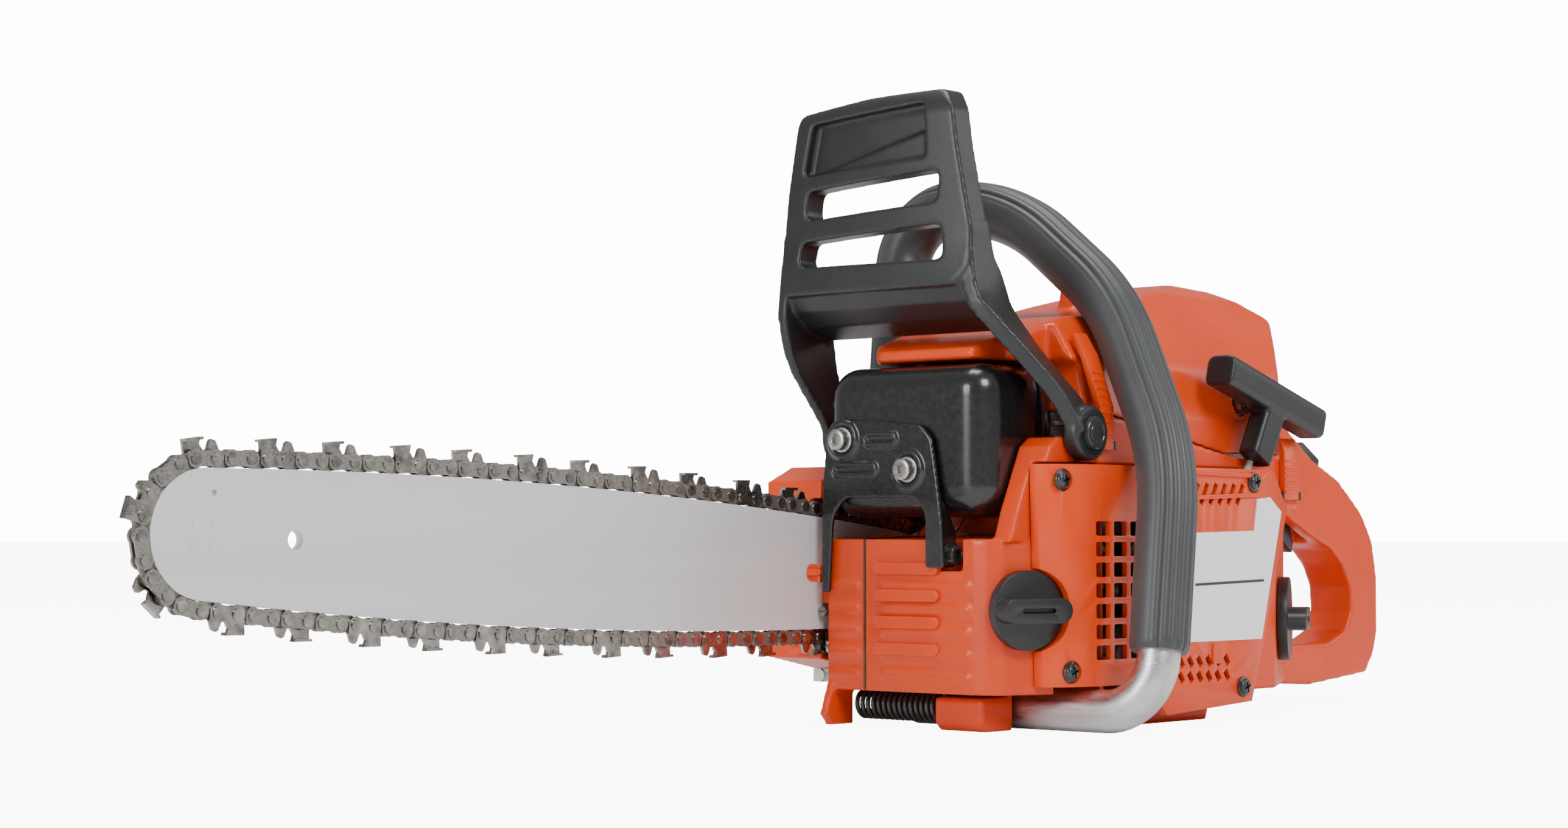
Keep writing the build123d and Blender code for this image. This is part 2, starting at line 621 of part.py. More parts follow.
def spark_plug():
    with BuildPart() as plug:
        z_rod(0, ENGINE_Y, 154.5, 162, 6.95)
        with BuildSketch(Plane.XY.offset(162)) as hexagon:
            with Locations((0, ENGINE_Y)):
                RegularPolygon(10.5, 6)
        extrude(hexagon.sketch, amount=7)
        z_rod(0, ENGINE_Y, 169, 173, 7.5)
        z_rod(0, ENGINE_Y, 173, 181, 4.4)
    write(plug, "spark_plug")
    with BuildPart() as boot:
        z_rod(0, ENGINE_Y, 174.5, 186, 8.0)
        x_rod(ENGINE_Y, 180, -30, 0, 5.5)
        z_rod(0, ENGINE_Y, 173, 181.1, 4.5, Mode.SUBTRACT)
    write(boot, "spark_plug_boot")


# ---------------------------------------------------------------- flywheel and ignition
def flywheel():
    y0, y1 = 39.0, 52.0
    fins = 14
    with BuildPart() as wheel:
        y_rod(0, CRANK_Z, y0, y0 + 6, FLYWHEEL_R)
        y_rod(0, CRANK_Z, y0, y1, 14.0)
        with BuildSketch(Plane.XZ.offset(-y1)) as vanes:
            with Locations((0, CRANK_Z)):
                with PolarLocations(29.0, fins):
                    Rectangle(24, 2.2)
        extrude(vanes.sketch, amount=y1 - y0 - 1)
        y_rod(0, CRANK_Z, y0, y1 + 4, CLUTCH_SHAFT_R, Mode.SUBTRACT)
    write(wheel, "flywheel")
    with BuildPart() as nut_and_pawls:
        with BuildSketch(Plane.XZ.offset(-54.0)) as hexagon:
            with Locations((0, CRANK_Z)):
                RegularPolygon(7.5, 6)
                Circle(CLUTCH_SHAFT_R, mode=Mode.SUBTRACT)
        extrude(hexagon.sketch, amount=2.0)
        for side in (1, -1):
            y_rod(side * 20, CRANK_Z, y1, y1 + 3.2, 3.0)
            block(min(side * 20, side * 11.5), max(side * 20, side * 11.5), y1 + 0.3, y1 + 3.2,
                  CRANK_Z - 2.2, CRANK_Z + 2.2)
    write(nut_and_pawls, "flywheel_nut_and_pawls")


def ignition_module():
    with BuildPart() as module:
        block(-24, 24, 40, 50, 92, 113.5)
        y_rod(0, CRANK_Z, 39, 51, FLYWHEEL_R + 0.6, Mode.SUBTRACT)
        block(-40, -24, 42, 48, 100, 112)
    write(module, "ignition_module")


# ---------------------------------------------------------------- clutch and drive
def clutch():
    y_in, y_out = DRUM_Y - 3.0, DRUM_Y - 15.0
    with BuildPart() as drum:
        y_rod(0, CRANK_Z, y_out - 1, DRUM_Y, DRUM_R)
        y_rod(0, CRANK_Z, y_out - 2, DRUM_Y - 1.6, DRUM_R - 1.5, Mode.SUBTRACT)
        y_rod(0, CRANK_Z, DRUM_Y, DRUM_Y + 2.0, 9.5)
        y_rod(0, CRANK_Z, y_out - 2, DRUM_Y + 3, CLUTCH_SHAFT_R + RUNNING_GAP, Mode.SUBTRACT)
    write(drum, "clutch_drum")
    with BuildPart() as shoes_and_hub:
        y_rod(0, CRANK_Z, y_out, y_in - 0.5, DRUM_R - 2.1)
        y_rod(0, CRANK_Z, y_out, y_in - 0.5, 25.0, Mode.SUBTRACT)
        with BuildSketch(Plane.XZ.offset(-y_in + 0.5)) as gaps:
            with Locations((0, CRANK_Z)):
                with PolarLocations(30.0, 3, start_angle=60):
                    Rectangle(16, 7)
        extrude(gaps.sketch, amount=12, mode=Mode.SUBTRACT)
        y_rod(0, CRANK_Z, y_out - 0.5, y_in, 11.0)
        with BuildSketch(Plane.XZ.offset(-y_in)) as arms:
            with Locations((0, CRANK_Z)):
                with PolarLocations(16.0, 3):
                    Rectangle(16, 8)
        extrude(arms.sketch, amount=11.5)
        y_rod(0, CRANK_Z, y_out - 2, y_in + 1, CLUTCH_SHAFT_R, Mode.SUBTRACT)
    write(shoes_and_hub, "clutch_hub_and_shoes")
    with BuildPart() as band:
        y_rod(0, CRANK_Z, DRUM_Y - 14, DRUM_Y - 2, DRUM_R + 1.4)
        y_rod(0, CRANK_Z, DRUM_Y - 14, DRUM_Y - 2, DRUM_R + 0.5, Mode.SUBTRACT)
        block(-50, -32, DRUM_Y - 15, DRUM_Y - 1, CRANK_Z - 2, CRANK_Z + 2, Mode.SUBTRACT)
    write(band, "brake_band")
    with BuildPart() as sprocket:
        with BuildSketch(Plane.XZ.offset(-BAR_Y - 2.6)) as rim:
            with Locations((0, CRANK_Z)):
                Circle(11.0)
                with PolarLocations(12.4, 7):
                    Circle(2.4, mode=Mode.SUBTRACT)
        extrude(rim.sketch, amount=5.2)
        y_rod(0, CRANK_Z, BAR_Y - 4, BAR_Y + 4, CLUTCH_SHAFT_R + RUNNING_GAP, Mode.SUBTRACT)
    write(sprocket, "rim_sprocket")


def oil_pump():
    with BuildPart() as pump:
        y_rod(0, CRANK_Z, RIGHT_Y + 0.3, -41.2, 16.0)
        y_rod(0, CRANK_Z, RIGHT_Y - 1, -40, CLUTCH_SHAFT_R + 0.6, Mode.SUBTRACT)
        x_rod(RIGHT_Y + 3.6, CRANK_Z - 12, -10, 10, 2.0, Mode.SUBTRACT)
    write(pump, "oil_pump")


# ---------------------------------------------------------------- bar fixing and tensioner
def bar_fixing():
    with BuildPart() as studs:
        for u in BAR_STUD_U:
            x, z = bar_point(u, 0)
            with BuildSketch(Plane.XZ.offset(72.2)) as hexagon:
                with Locations((x, z)):
                    RegularPolygon(7.5, 6)
            extrude(hexagon.sketch, amount=8)
            y_rod(x, z, -74.2, -72.2, 9.5)
            y_rod(x, z, -80.4, -72, BAR_STUD_R, Mode.SUBTRACT)
        for u in BAR_STUD_U:
            x, z = bar_point(u, 0)
            y_rod(x, z, -83, -34.5, BAR_STUD_R - 0.05)
    write(studs, "bar_studs_and_nuts")
    x, z = bar_point(60.0, -15.0)
    with BuildPart() as screw:
        x_rod(RIGHT_Y - 2.8, z, 64, 111, 2.2)
        block(110, 112, RIGHT_Y - 6, RIGHT_Y, z - 0.5, z + 0.5, Mode.SUBTRACT)
    write(screw, "tensioner_screw")
    with BuildPart() as pin:
        block(x - 3, x + 3.2, RIGHT_Y - 5.2, RIGHT_Y - 0.2, z - 2.9, z + 2.9)
        y_rod(x, z, BAR_Y - 1.9, RIGHT_Y - 5, 2.7)
    write(pin, "tensioner_pin")



# ---------------------------------------------------------------- tank and rear handle
HANDLE_Y0 = -8.0
HANDLE_Y1 = 18.0
HANDLE_OUTLINE = [(-148, 60), (-151, 60), (-151, 150), (-166, 148), (-199, 127), (-226, 116), (-249, 99), (-260, 84),
                  (-264, 67), (-264, 34), (-260, 23), (-252, 14), (-197, 9.5), (-148, 12)]
LOOP_OUTLINE = [(-160, 31), (-160, 98), (-172, 98), (-200, 86), (-218, 80), (-230, 71), (-237, 60), (-238, 47),
                (-232, 37), (-215, 31)]
HAND_REST = [(-158, -44), (-240, -44), (-254, -34), (-256, 0), (-158, 0)]
TAPER_TURN = 118.0         # direction of the tank's rear left face from +X towards +Y
TAPER_CUT = [(-94.6, 60.5), (-160, 25.7), (-160, 70), (-94.6, 70)]
RAIL_CUT = [(-116, 60.5), (-160, 24.5), (-160, 70), (-116, 70)]
FUEL_CAP_PLACE = (-120.0, 47.0, 46.0)
FUEL_NECK_R = 12.0
TRIGGER_PIVOT = (-172.0, 116.0)
LOCKOUT_PIVOT = (-214.0, 117.0)
TUBE_FOOT = (66.0, 9.6)
HOSE_PLACE = (-90.5, -4.0)
HOSE_R = 2.4
SPRING_PLACE = (91.0, 9.8)
SPRING_R = 7.0


def rear_handle_tank():
    """One moulding: fuel tank, rear handle, base and the two side rails that reach forward."""
    with BuildPart() as unit:
        side_plate([(-66, 13), (-66, 104), (-152, 104), (-152, 13)], -50, 58)
        side_plate(HANDLE_OUTLINE, HANDLE_Y0, HANDLE_Y1)
        side_plate(LOOP_OUTLINE, HANDLE_Y0 - 1, HANDLE_Y1 + 1, Mode.SUBTRACT)
        side_plate([(-66, 100), (-66, 118.4), (52, 118.4), (52, 140), (40, 141), (-62, 124), (-148, 124),
                    (-148, 100)], 54, 60)
        side_plate([(-66, 100), (-66, 122), (51, 122), (51, 138), (-20, 138), (-62, 124), (-148, 124),
                    (-148, 100)], -58, -50)
        side_plate([(-152, 100), (-152, 124), (-148, 124), (-148, 100)], -58, 60)
        side_plate([(-66, 13), (-66, 23.5), (79, 23.5), (79, 19.3), (56, 19.3), (56, 0), (-48, 0)], -37, 33)
        side_plate([(-48, 0), (-52, 10.5), (54, 10.5), (54, 0)], 32, 52)
        side_plate([(77, 0), (77, 23.5), (79.5, 23.5), (79.5, 15), (100, 15), (100, 3), (97, 0)], 6, 33)
        floor_plate(HAND_REST, 10, 17)
        floor_plate([(-146, -46), (-85, -46), (-85, 54), (-91, 54), (-146, 26)], 17, 98, Mode.SUBTRACT)
        floor_plate(TAPER_CUT, 0, 99, Mode.SUBTRACT)
        floor_plate(RAIL_CUT, 99, 140, Mode.SUBTRACT)
        y_rod(*TUBE_FOOT, -60, 70, TUBE_R + 0.1, Mode.SUBTRACT)
        with BuildSketch(turned_plane(FUEL_CAP_PLACE, TAPER_TURN, 1.0)) as neck:
            Circle(FUEL_NECK_R)
        extrude(neck.sketch, amount=-9, mode=Mode.SUBTRACT)
        block(-208, -165, 0, 10, 80, 124, Mode.SUBTRACT)
        block(-225, -194, 0.5, 9.5, 106, 142, Mode.SUBTRACT)
        block(-165, -151.5, 1.5, 8.5, 144, 152, Mode.SUBTRACT)
        y_rod(*TRIGGER_PIVOT, -6, 16, 2.0, Mode.SUBTRACT)
        y_rod(*LOCKOUT_PIVOT, -6, 16, 1.5, Mode.SUBTRACT)
        for y in (-34, 24):
            x_rod(y, 58, -82, -64, 8.5, Mode.SUBTRACT)
        z_rod(*HOSE_PLACE, 90, 106, HOSE_R, Mode.SUBTRACT)
        x_rod(-30, 114, -154, -146, 2.1, Mode.SUBTRACT)
        y_rod(PIVOT_X - 22, PIVOT_Z - 1, 53, 61, 2.2, Mode.SUBTRACT)
    write(unit, "rear_handle_tank")


def av_springs():
    """Coil springs between the engine and the handle unit, as grooved sleeves."""
    with BuildPart() as springs:
        x, z = SPRING_PLACE
        y_rod(x, z, RIGHT_Y + 4.2, 5.8, SPRING_R)
        y_rod(x, z, RIGHT_Y + 4.2, 5.8, SPRING_R - 3.4, Mode.SUBTRACT)
        for y in (-34, 24):
            x_rod(y, 58, -81.8, -62.2, 8.2)
            x_rod(y, 58, -82, -62, 5.0, Mode.SUBTRACT)
    write(springs, "av_springs")


def throttle():
    with BuildPart() as trigger:
        side_plate([(-178, 121), (-167, 121), (-166.5, 111), (-175, 103), (-185, 84), (-194, 78), (-195, 84),
                    (-190, 96), (-184, 106)], 1, 9)
        y_rod(*TRIGGER_PIVOT, -1, 11, 2.0 + RUNNING_GAP, Mode.SUBTRACT)
    write(trigger, "throttle_trigger")
    with BuildPart() as lockout:
        side_plate([(-222, 127), (-206, 136), (-199, 133), (-201, 118), (-208, 112), (-219, 112)], 1.5, 8.5)
        y_rod(*LOCKOUT_PIVOT, -1, 11, 1.5 + RUNNING_GAP, Mode.SUBTRACT)
    write(lockout, "throttle_lockout")
    with BuildPart() as switch:
        block(-164.6, -158, 1.9, 8.1, 144.3, 153.5)
    write(switch, "stop_switch")
    with BuildPart() as choke:
        x_rod(-30, 114, -162, -154, 6.5)
        x_rod(-30, 114, -155, -141, 2.0)
    write(choke, "choke_knob")


def fuel_system():
    with BuildPart() as carb:
        block(-92, -60.3, -16, 8, 112, 136)
        y_rod(-76, 124, -22, 14, 3.0)
        x_rod(ENGINE_Y, 124, -95, -60, 8.0, Mode.SUBTRACT)
    write(carb, "carburettor")
    with BuildPart() as boot:
        x_rod(ENGINE_Y, 124, -60.2, -46.1, 11.5)
        x_rod(ENGINE_Y, 124, -62, -46, 8.0, Mode.SUBTRACT)
    write(boot, "intake_boot")
    with BuildPart() as cleaner:
        with BuildSketch(Plane.XY.offset(106)) as plan:
            with Locations((-118.5, -2)):
                RectangleRounded(40, 52, 8)
        extrude(plan.sketch, amount=66)
        x_rod(ENGINE_Y, 124, -97, -92.1, 12.0)
        x_rod(ENGINE_Y, 124, -112, -90, 8.0, Mode.SUBTRACT)
    write(cleaner, "air_filter")
    with BuildPart() as pickup:
        z_rod(*HOSE_PLACE, 35, 111.9, HOSE_R)
        z_rod(*HOSE_PLACE, 20, 35, 5.3)
    write(pickup, "fuel_pickup")


# ---------------------------------------------------------------- caps
def cap_grip(length, width, height, base):
    """Raised finger bar with a slot, on the working plane's origin."""
    with BuildSketch(base) as bar:
        SlotOverall(length, width)
    extrude(bar.sketch, amount=height)
    with BuildSketch(base.offset(height)) as slot:
        SlotOverall(length * 0.5, 2.0)
    extrude(slot.sketch, amount=-3, mode=Mode.SUBTRACT)


def filler_caps():
    plane = turned_plane(OIL_CAP_PLACE, OIL_CAP_TURN, 0.3)
    with BuildPart() as oil_cap:
        with BuildSketch(plane) as disc:
            Circle(17.5)
        extrude(disc.sketch, amount=5)
        with BuildSketch(plane) as plug:
            Circle(OIL_NECK_R - 0.4)
        extrude(plug.sketch, amount=-8)
        cap_grip(34, 11, 9, plane.offset(5))
    write(oil_cap, "oil_cap")
    plane = turned_plane(FUEL_CAP_PLACE, TAPER_TURN, 0.3)
    with BuildPart() as fuel_cap:
        with BuildSketch(plane) as disc:
            Circle(20.5)
        extrude(disc.sketch, amount=5)
        with BuildSketch(plane) as plug:
            Circle(FUEL_NECK_R - 0.4)
        extrude(plug.sketch, amount=-8)
        cap_grip(36, 11, 9, plane.offset(5))
    write(fuel_cap, "fuel_cap")


# ---------------------------------------------------------------- front handle
LEAN = 0.2174             # the bail leans back by this much per unit of height
BAIL_OFFSET = 68.0


def bail_point(y, z):
    """A point of the bail's leaning plane."""
    return (BAIL_OFFSET - LEAN * z, y, z)


BAIL_CORNERS = [bail_point(101, 9.6), bail_point(93, 120), bail_point(52, 193), bail_point(-12, 241.5),
                bail_point(-80, 247)]
BAIL_RADII = [24, 120, 110, 100, 26]
BAIL_END = bail_point(-67.7, 131)
TUBE_START = (BAIL_OFFSET - LEAN * 9.6, -30.0, 9.6)
GRIP_LOW = 36.0
GRIP_HIGH = 150.0


def bail_between(low, high, z):
    """Point at a height on the straight between two bail corners."""
    part = (z - low[2]) / (high[2] - low[2])
    return bail_point(low[1] + part * (high[1] - low[1]), z)


GRIP_START = bail_between(BAIL_CORNERS[0], BAIL_CORNERS[1], GRIP_LOW)
GRIP_END = bail_between(BAIL_END, BAIL_CORNERS[-1], GRIP_HIGH)


def front_handle():
    with BuildPart() as tube:
        with BuildLine() as route:
            FilletPolyline(TUBE_START, *BAIL_CORNERS, BAIL_END, radius=BAIL_RADII)
        with BuildSketch(Plane(origin=TUBE_START, z_dir=(0, 1, 0))):
            Circle(TUBE_R)
            Circle(TUBE_R - 2.0, mode=Mode.SUBTRACT)
        sweep(path=route.line)
        y_rod(BAIL_END[0], BAIL_END[2] + 6, -80, -54, BOLT_R, Mode.SUBTRACT)
        y_rod(BAIL_END[0], BAIL_END[2] + 6, -84, BAIL_END[1] - TUBE_R - 0.1, 4.6, Mode.SUBTRACT)
    write(tube, "front_handle_tube")
    start = Vector(*GRIP_START)
    along = (Vector(*BAIL_CORNERS[1]) - start).normalized()
    with BuildPart() as grip:
        with BuildLine() as route:
            FilletPolyline(GRIP_START, *BAIL_CORNERS[1:], GRIP_END, radius=BAIL_RADII[1:])
        with BuildSketch(Plane(origin=start, z_dir=along)):
            Circle(GRIP_R)
            Circle(TUBE_R + 0.1, mode=Mode.SUBTRACT)
        sweep(path=route.line)
    write(grip, "front_handle_grip")


# ---------------------------------------------------------------- top cover and clips
VALVE_PLACE = (-78.0, 150.0)
VALVE_R = 5.0
COVER_SIDE = [(-149, 126), (-62, 125.5), (38, 142.5), (50, 142.5), (50, 165), (100, 165), (100, 170), (64, 180),
              (46, 186), (20, 189), (-12, 195), (-52, 205), (-84, 211), (-112, 209), (-140, 197), (-149, 186)]
COVER_FRONT = [(-46, 110), (54, 110), (54, 142), (50, 166), (41, 181), (22, 204), (6, 212), (-18, 211), (-37, 199),
               (-46, 182)]


COVER_TAPER = [(-111, 54.5), (-160, 14.5), (-160, 70), (-111, 70)]


def top_cover():
    inner_side = inset(COVER_SIDE[4:], SHELL)
    with BuildPart() as cavity:
        side_plate([(-146.5, 100), (47.5, 100), (47.5, 176)] + inner_side[4:], -43.5, 51.5)
        front_plate(inset(COVER_FRONT, SHELL)[2:] + [(-43.5, 90), (51.5, 90)], -160, 60, Mode.INTERSECT)
        floor_plate([(x + 1.6, y - 2.0) for x, y in COVER_TAPER], 90, 220, Mode.SUBTRACT)
    with BuildPart() as cover:
        side_plate(COVER_SIDE, -46, 54)
        front_plate(COVER_FRONT, -160, 120, Mode.INTERSECT)
        add(cavity.part, mode=Mode.SUBTRACT)
        block(56, 120, 36, 60, 140, 200, Mode.SUBTRACT)
        block(76, 120, 28, 60, 140, 200, Mode.SUBTRACT)
        floor_plate([(56, -47), (56, -45), (84, -40), (97, -30), (101, -24), (112, -24), (112, -47)], 140, 200,
                    Mode.SUBTRACT)
        floor_plate(COVER_TAPER, 100, 220, Mode.SUBTRACT)
        side_plate([(-20, 192), (-8, 192), (-12, 208), (-22, 208)], -6, 4)
        y_rod(*VALVE_PLACE, 40, 60, VALVE_R + 0.4, Mode.SUBTRACT)
    write(cover, "top_cover")


def cover_clips():
    with BuildPart() as front_clip:
        front_plate([(60.4, 125), (63.2, 125), (63.2, 144), (54.8, 168), (48.5, 178), (46.8, 176), (52.2, 166.5),
                     (60.4, 143)], 42.5, 52.5)
        x_rod(61.8, 127, 41, 54, 1.0 + RUNNING_GAP, Mode.SUBTRACT)
    write(front_clip, "cover_clip_front")
    with BuildPart() as rear_clip:
        front_plate([(60.4, 105.2), (61.4, 104.2), (63.2, 104.2), (63.2, 128), (60.4, 134)], -113, -100)
        x_rod(61.8, 106, -114, -99, 1.0 + RUNNING_GAP, Mode.SUBTRACT)
    write(rear_clip, "cover_clip_rear")


# ---------------------------------------------------------------- starter
STARTER_OUTLINE = [(90, 20.5), (92, 118), (-76, 118), (-88, 99), (-66, 36), (-56, 9), (14, 5.5), (30, 20.5)]
COVER_SCREWS = ((84, 64.6, 111), (-58, STARTER_Y, 112), (-48, STARTER_Y, 16), (80, 66.0, 27))
COVER_SCREW_R = 2.1
ROPE_R = 26.0
ROPE_THICK = 1.75
ROPE_OUTLET = (-66.0, 63.5, 117.0)
PULL_DIRECTION = (-0.49, 0.0, 0.872)
STEM_FOOT = (-67.2, 67.0, 123.0)
STEM_TOP = (-82.0, 67.0, 149.5)
TEE_ENDS = ((-38.0, 67.0, 164.5), (-120.0, 67.0, 141.0))
VENT_ROWS = 7
VENT_COLUMNS = 4


def starter_cover():
    plan = [(92, 53.2), (92, 57), (84, 65), (66, STARTER_Y), (-90, STARTER_Y), (-90, SHROUD_Y), (70.5, 61.4)]
    with BuildPart() as cavity:
        side_plate(inset(STARTER_OUTLINE, SHELL), 50, STARTER_Y - SHELL)
        block(-90, 63, 50, 75, 0, 130, Mode.INTERSECT)
    with BuildPart() as cover:
        side_plate(STARTER_OUTLINE, 50, 75)
        floor_plate(plan, 0, 130, Mode.INTERSECT)
        add(cavity.part, mode=Mode.SUBTRACT)
        with BuildSketch(turned_plane(OIL_CAP_PLACE, OIL_CAP_TURN, -1.0)) as notch:
            Circle(19.0)
        extrude(notch.sketch, amount=30, mode=Mode.SUBTRACT)
        with BuildSketch(Plane.XZ.offset(-STARTER_Y - 1)) as vents:
            with Locations((44, 62.5)):
                with GridLocations(12.6, 9.1, VENT_COLUMNS, VENT_ROWS):
                    RectangleRounded(9.6, 6.4, 1.0)
            with Locations((-16, 22), (-16, 29)):
                with GridLocations(7.5, 1, 6, 1):
                    Rectangle(3.4, 5.2, rotation=-35)
            with Locations((-28, 106)):
                with GridLocations(7.5, 1, 6, 1):
                    Rectangle(3.0, 11, rotation=30)
        extrude(vents.sketch, amount=5, mode=Mode.SUBTRACT)
        y_rod(0, CRANK_Z, 56, STARTER_Y - 1, 5.0)
        for x, y, z in COVER_SCREWS:
            y_rod(x, z, y - 14, y + 4, COVER_SCREW_R, Mode.SUBTRACT)
            y_rod(x, z, y, y + 4, 5.0, Mode.SUBTRACT)
        with BuildSketch(Plane(origin=(-63.5, 63.5, 112.5), z_dir=PULL_DIRECTION)) as outlet:
            Circle(ROPE_THICK + 2.4)
        extrude(outlet.sketch, amount=14, mode=Mode.SUBTRACT)
        block(-72, -50, 60.5, 66.5, 112, 119, Mode.SUBTRACT)
    write(cover, "starter_cover")
    with BuildPart() as label:
        side_plate([(-4, 38), (-4, 88), (-58, 89), (-61, 104), (-72, 105), (-82, 98), (-64, 38)],
                   STARTER_Y, STARTER_Y + 0.6)
    write(label, "label_plate")


def starter():
    with BuildPart() as pulley:
        y_rod(0, CRANK_Z, 56.6, 57.6, 30.0)
        y_rod(0, CRANK_Z, 56.6, 64.0, 20.0)
        y_rod(0, CRANK_Z, 63.0, 64.0, 30.0)
        y_rod(0, CRANK_Z, 56, 65, 5.0 + RUNNING_GAP, Mode.SUBTRACT)
    write(pulley, "starter_pulley")
    with BuildPart() as coil:
        y_rod(0, CRANK_Z, 57.8, 62.8, ROPE_R + ROPE_THICK)
        y_rod(0, CRANK_Z, 57.8, 62.8, 20.1, Mode.SUBTRACT)
    write(coil, "starter_rope_coil")
    with BuildPart() as spring:
        y_rod(0, CRANK_Z, 64.4, 68.9, 26.0)
        y_rod(0, CRANK_Z, 64.4, 68.9, 5.4, Mode.SUBTRACT)
    write(spring, "recoil_spring")
    centre_to_outlet = (ROPE_OUTLET[0], ROPE_OUTLET[2] - CRANK_Z)
    reach = hypot(*centre_to_outlet)
    lead_r = ROPE_R + 2 * ROPE_THICK
    lift = asin(lead_r / reach)
    start = Vector(*ROPE_OUTLET)
    length = reach * cos(lift) - 2.0
    angle = atan2(-centre_to_outlet[1], -centre_to_outlet[0]) + lift
    toward = Vector(cos(angle), -0.036, sin(angle)).normalized()
    with BuildPart() as lead:
        with BuildSketch(Plane(origin=start, z_dir=toward)) as section:
            Circle(ROPE_THICK)
        extrude(section.sketch, amount=length)
        with BuildSketch(Plane(origin=start, z_dir=PULL_DIRECTION)) as section:
            Circle(ROPE_THICK)
        extrude(section.sketch, amount=2.4)
        with Locations(ROPE_OUTLET):
            Sphere(ROPE_THICK)
    write(lead, "starter_rope_lead")
    foot, top = Vector(*STEM_FOOT), Vector(*STEM_TOP)
    one, other = Vector(*TEE_ENDS[0]), Vector(*TEE_ENDS[1])
    across = (other - one).normalized()
    with BuildPart() as handle:
        with BuildSketch(Plane(origin=foot, x_dir=(0, 1, 0), z_dir=(top - foot).normalized())):
            RectangleRounded(11.6, 16, 3)
        extrude(amount=(top - foot).length + 3)
        with BuildSketch(Plane(origin=one, x_dir=(0, 1, 0), z_dir=across)):
            RectangleRounded(15.6, 15, 3.5)
        extrude(amount=(other - one).length)
    write(handle, "starter_handle")


# ---------------------------------------------------------------- clutch cover
CLUTCH_OUTLINE = [(100, 30), (100, 112), (84, 119), (-36, 119), (-56, 104), (-60, 64), (-52, 38), (-30, 24), (60, 22)]


def clutch_cover():
    with BuildPart() as cover:
        side_plate(CLUTCH_OUTLINE, COVER_RIGHT_Y, -60.3)
        side_plate(inset(CLUTCH_OUTLINE, 3.0), COVER_RIGHT_Y + SHELL, -55, Mode.SUBTRACT)
        pad = [bar_point(46, -17), bar_point(104, -17), bar_point(104, 17), bar_point(46, 17)]
        side_plate(pad, COVER_RIGHT_Y + 1, -60.3 + 2.4)
        recess = [bar_point(52, -14), bar_point(110, -14), bar_point(110, 14), bar_point(52, 14)]
        side_plate(recess, COVER_RIGHT_Y - 1, -72.2, Mode.SUBTRACT)
        for u in BAR_STUD_U:
            x, z = bar_point(u, 0)
            y_rod(x, z, -75, -55, BAR_STUD_R + 0.3, Mode.SUBTRACT)
        block(90, 103, -68, -60, 36, 104, Mode.SUBTRACT)
        side_plate([(50, 117), (82, 117), (80, 136), (74, 144), (60, 144), (53, 136)], -70, -63)
        y_rod(PIVOT_X, PIVOT_Z, -71, -62, 4.0, Mode.SUBTRACT)
    write(cover, "clutch_cover")
    with BuildPart() as catcher:
        block(84, 108, -58.6, -48.3, 20, 26)
        x_rod(-53.4, 23, 104, 110, 3.0)
    write(catcher, "chain_catcher")


# ---------------------------------------------------------------- muffler
MUFFLER_CORNERS = ((52.5, 110.0), (-51.0, 42.0), (95.0, 163.0))
MUFFLER_WALL = 1.5
BRACKET_BOLTS = ((-36, 130), (2, 116))


def rounded_box(corners, wall, radius):
    """Rounded box between corners, shrunk on every side by a wall."""
    (x0, x1), (y0, y1), (z0, z1) = corners
    with BuildPart(mode=Mode.PRIVATE) as box:
        block(x0 + wall, x1 - wall, y0 + wall, y1 - wall, z0 + wall, z1 - wall)
        fillet(box.edges(), radius - wall)
    return box.part


def muffler():
    with BuildPart() as can:
        add(rounded_box(MUFFLER_CORNERS, 0.0, 13.0))
        y_rod(86, 148, -61, -50, 6.0)
        y_rod(86, 148, -62, -50, 4.5, Mode.SUBTRACT)
        add(rounded_box(MUFFLER_CORNERS, MUFFLER_WALL, 13.0), mode=Mode.SUBTRACT)
        x_rod(ENGINE_Y, 124, 50, 60, 9.0, Mode.SUBTRACT)
        for y, z in BRACKET_BOLTS:
            x_rod(y, z, 104, 114, BOLT_R, Mode.SUBTRACT)
        block(49.6, 52.4, ENGINE_Y - 15, ENGINE_Y + 15, 112, 136)
        x_rod(ENGINE_Y, 124, 48, 54, 9.0, Mode.SUBTRACT)
    write(can, "muffler")
    with BuildPart() as bracket:
        front_plate([(-44, 60), (-37, 60), (-36, 86), (-31, 95), (-24, 98), (-3, 98), (5, 94), (9, 86), (10, 73),
                     (17.5, 73), (17.5, 100), (14, 122), (8, 133), (-2, 136), (-36, 138), (-44, 128)], 111.4, 113.6)
        side_plate([(113.6, 73), (113.6, 100), (104, 86), (98, 80), (98, 73)], 15, 17.5)
        for y, z in BRACKET_BOLTS:
            x_rod(y, z, 109, 116, BOLT_R, Mode.SUBTRACT)
        y_rod(105, 78, 14, 19, BOLT_R, Mode.SUBTRACT)
    write(bracket, "muffler_bracket")


# ---------------------------------------------------------------- hand guard
GUARD_FRAME = [(-79, 199), (18, 199), (26, 205), (29, 220), (21, 262), (19, 280), (10, 288), (-30, 287), (-73, 282.5),
               (-80, 246), (-84, 215), (-84, 199)]
GUARD_SCOOP = [(93, 207), (101, 201), (99, 193), (90, 186), (78, 182), (77, 184.5), (88, 189), (94, 195), (95, 200)]
GUARD_WINDOWS = ([(-68, 232.5), (10, 236), (12, 250.5), (-66, 246)], [(-72, 211), (14, 210), (12, 226), (-70, 222.5)])


def tapered_arm(sections):
    """Arm lofted through level rectangles given as (x, y, z, length, width)."""
    levels = []
    for x, y, z, length, width in sections:
        with BuildSketch(Plane.XY.offset(z)) as level:
            with Locations((x, y)):
                Rectangle(length, width)
        levels.append(level.sketch)
    for low, high in zip(levels, levels[1:]):
        loft([low, high], ruled=True)


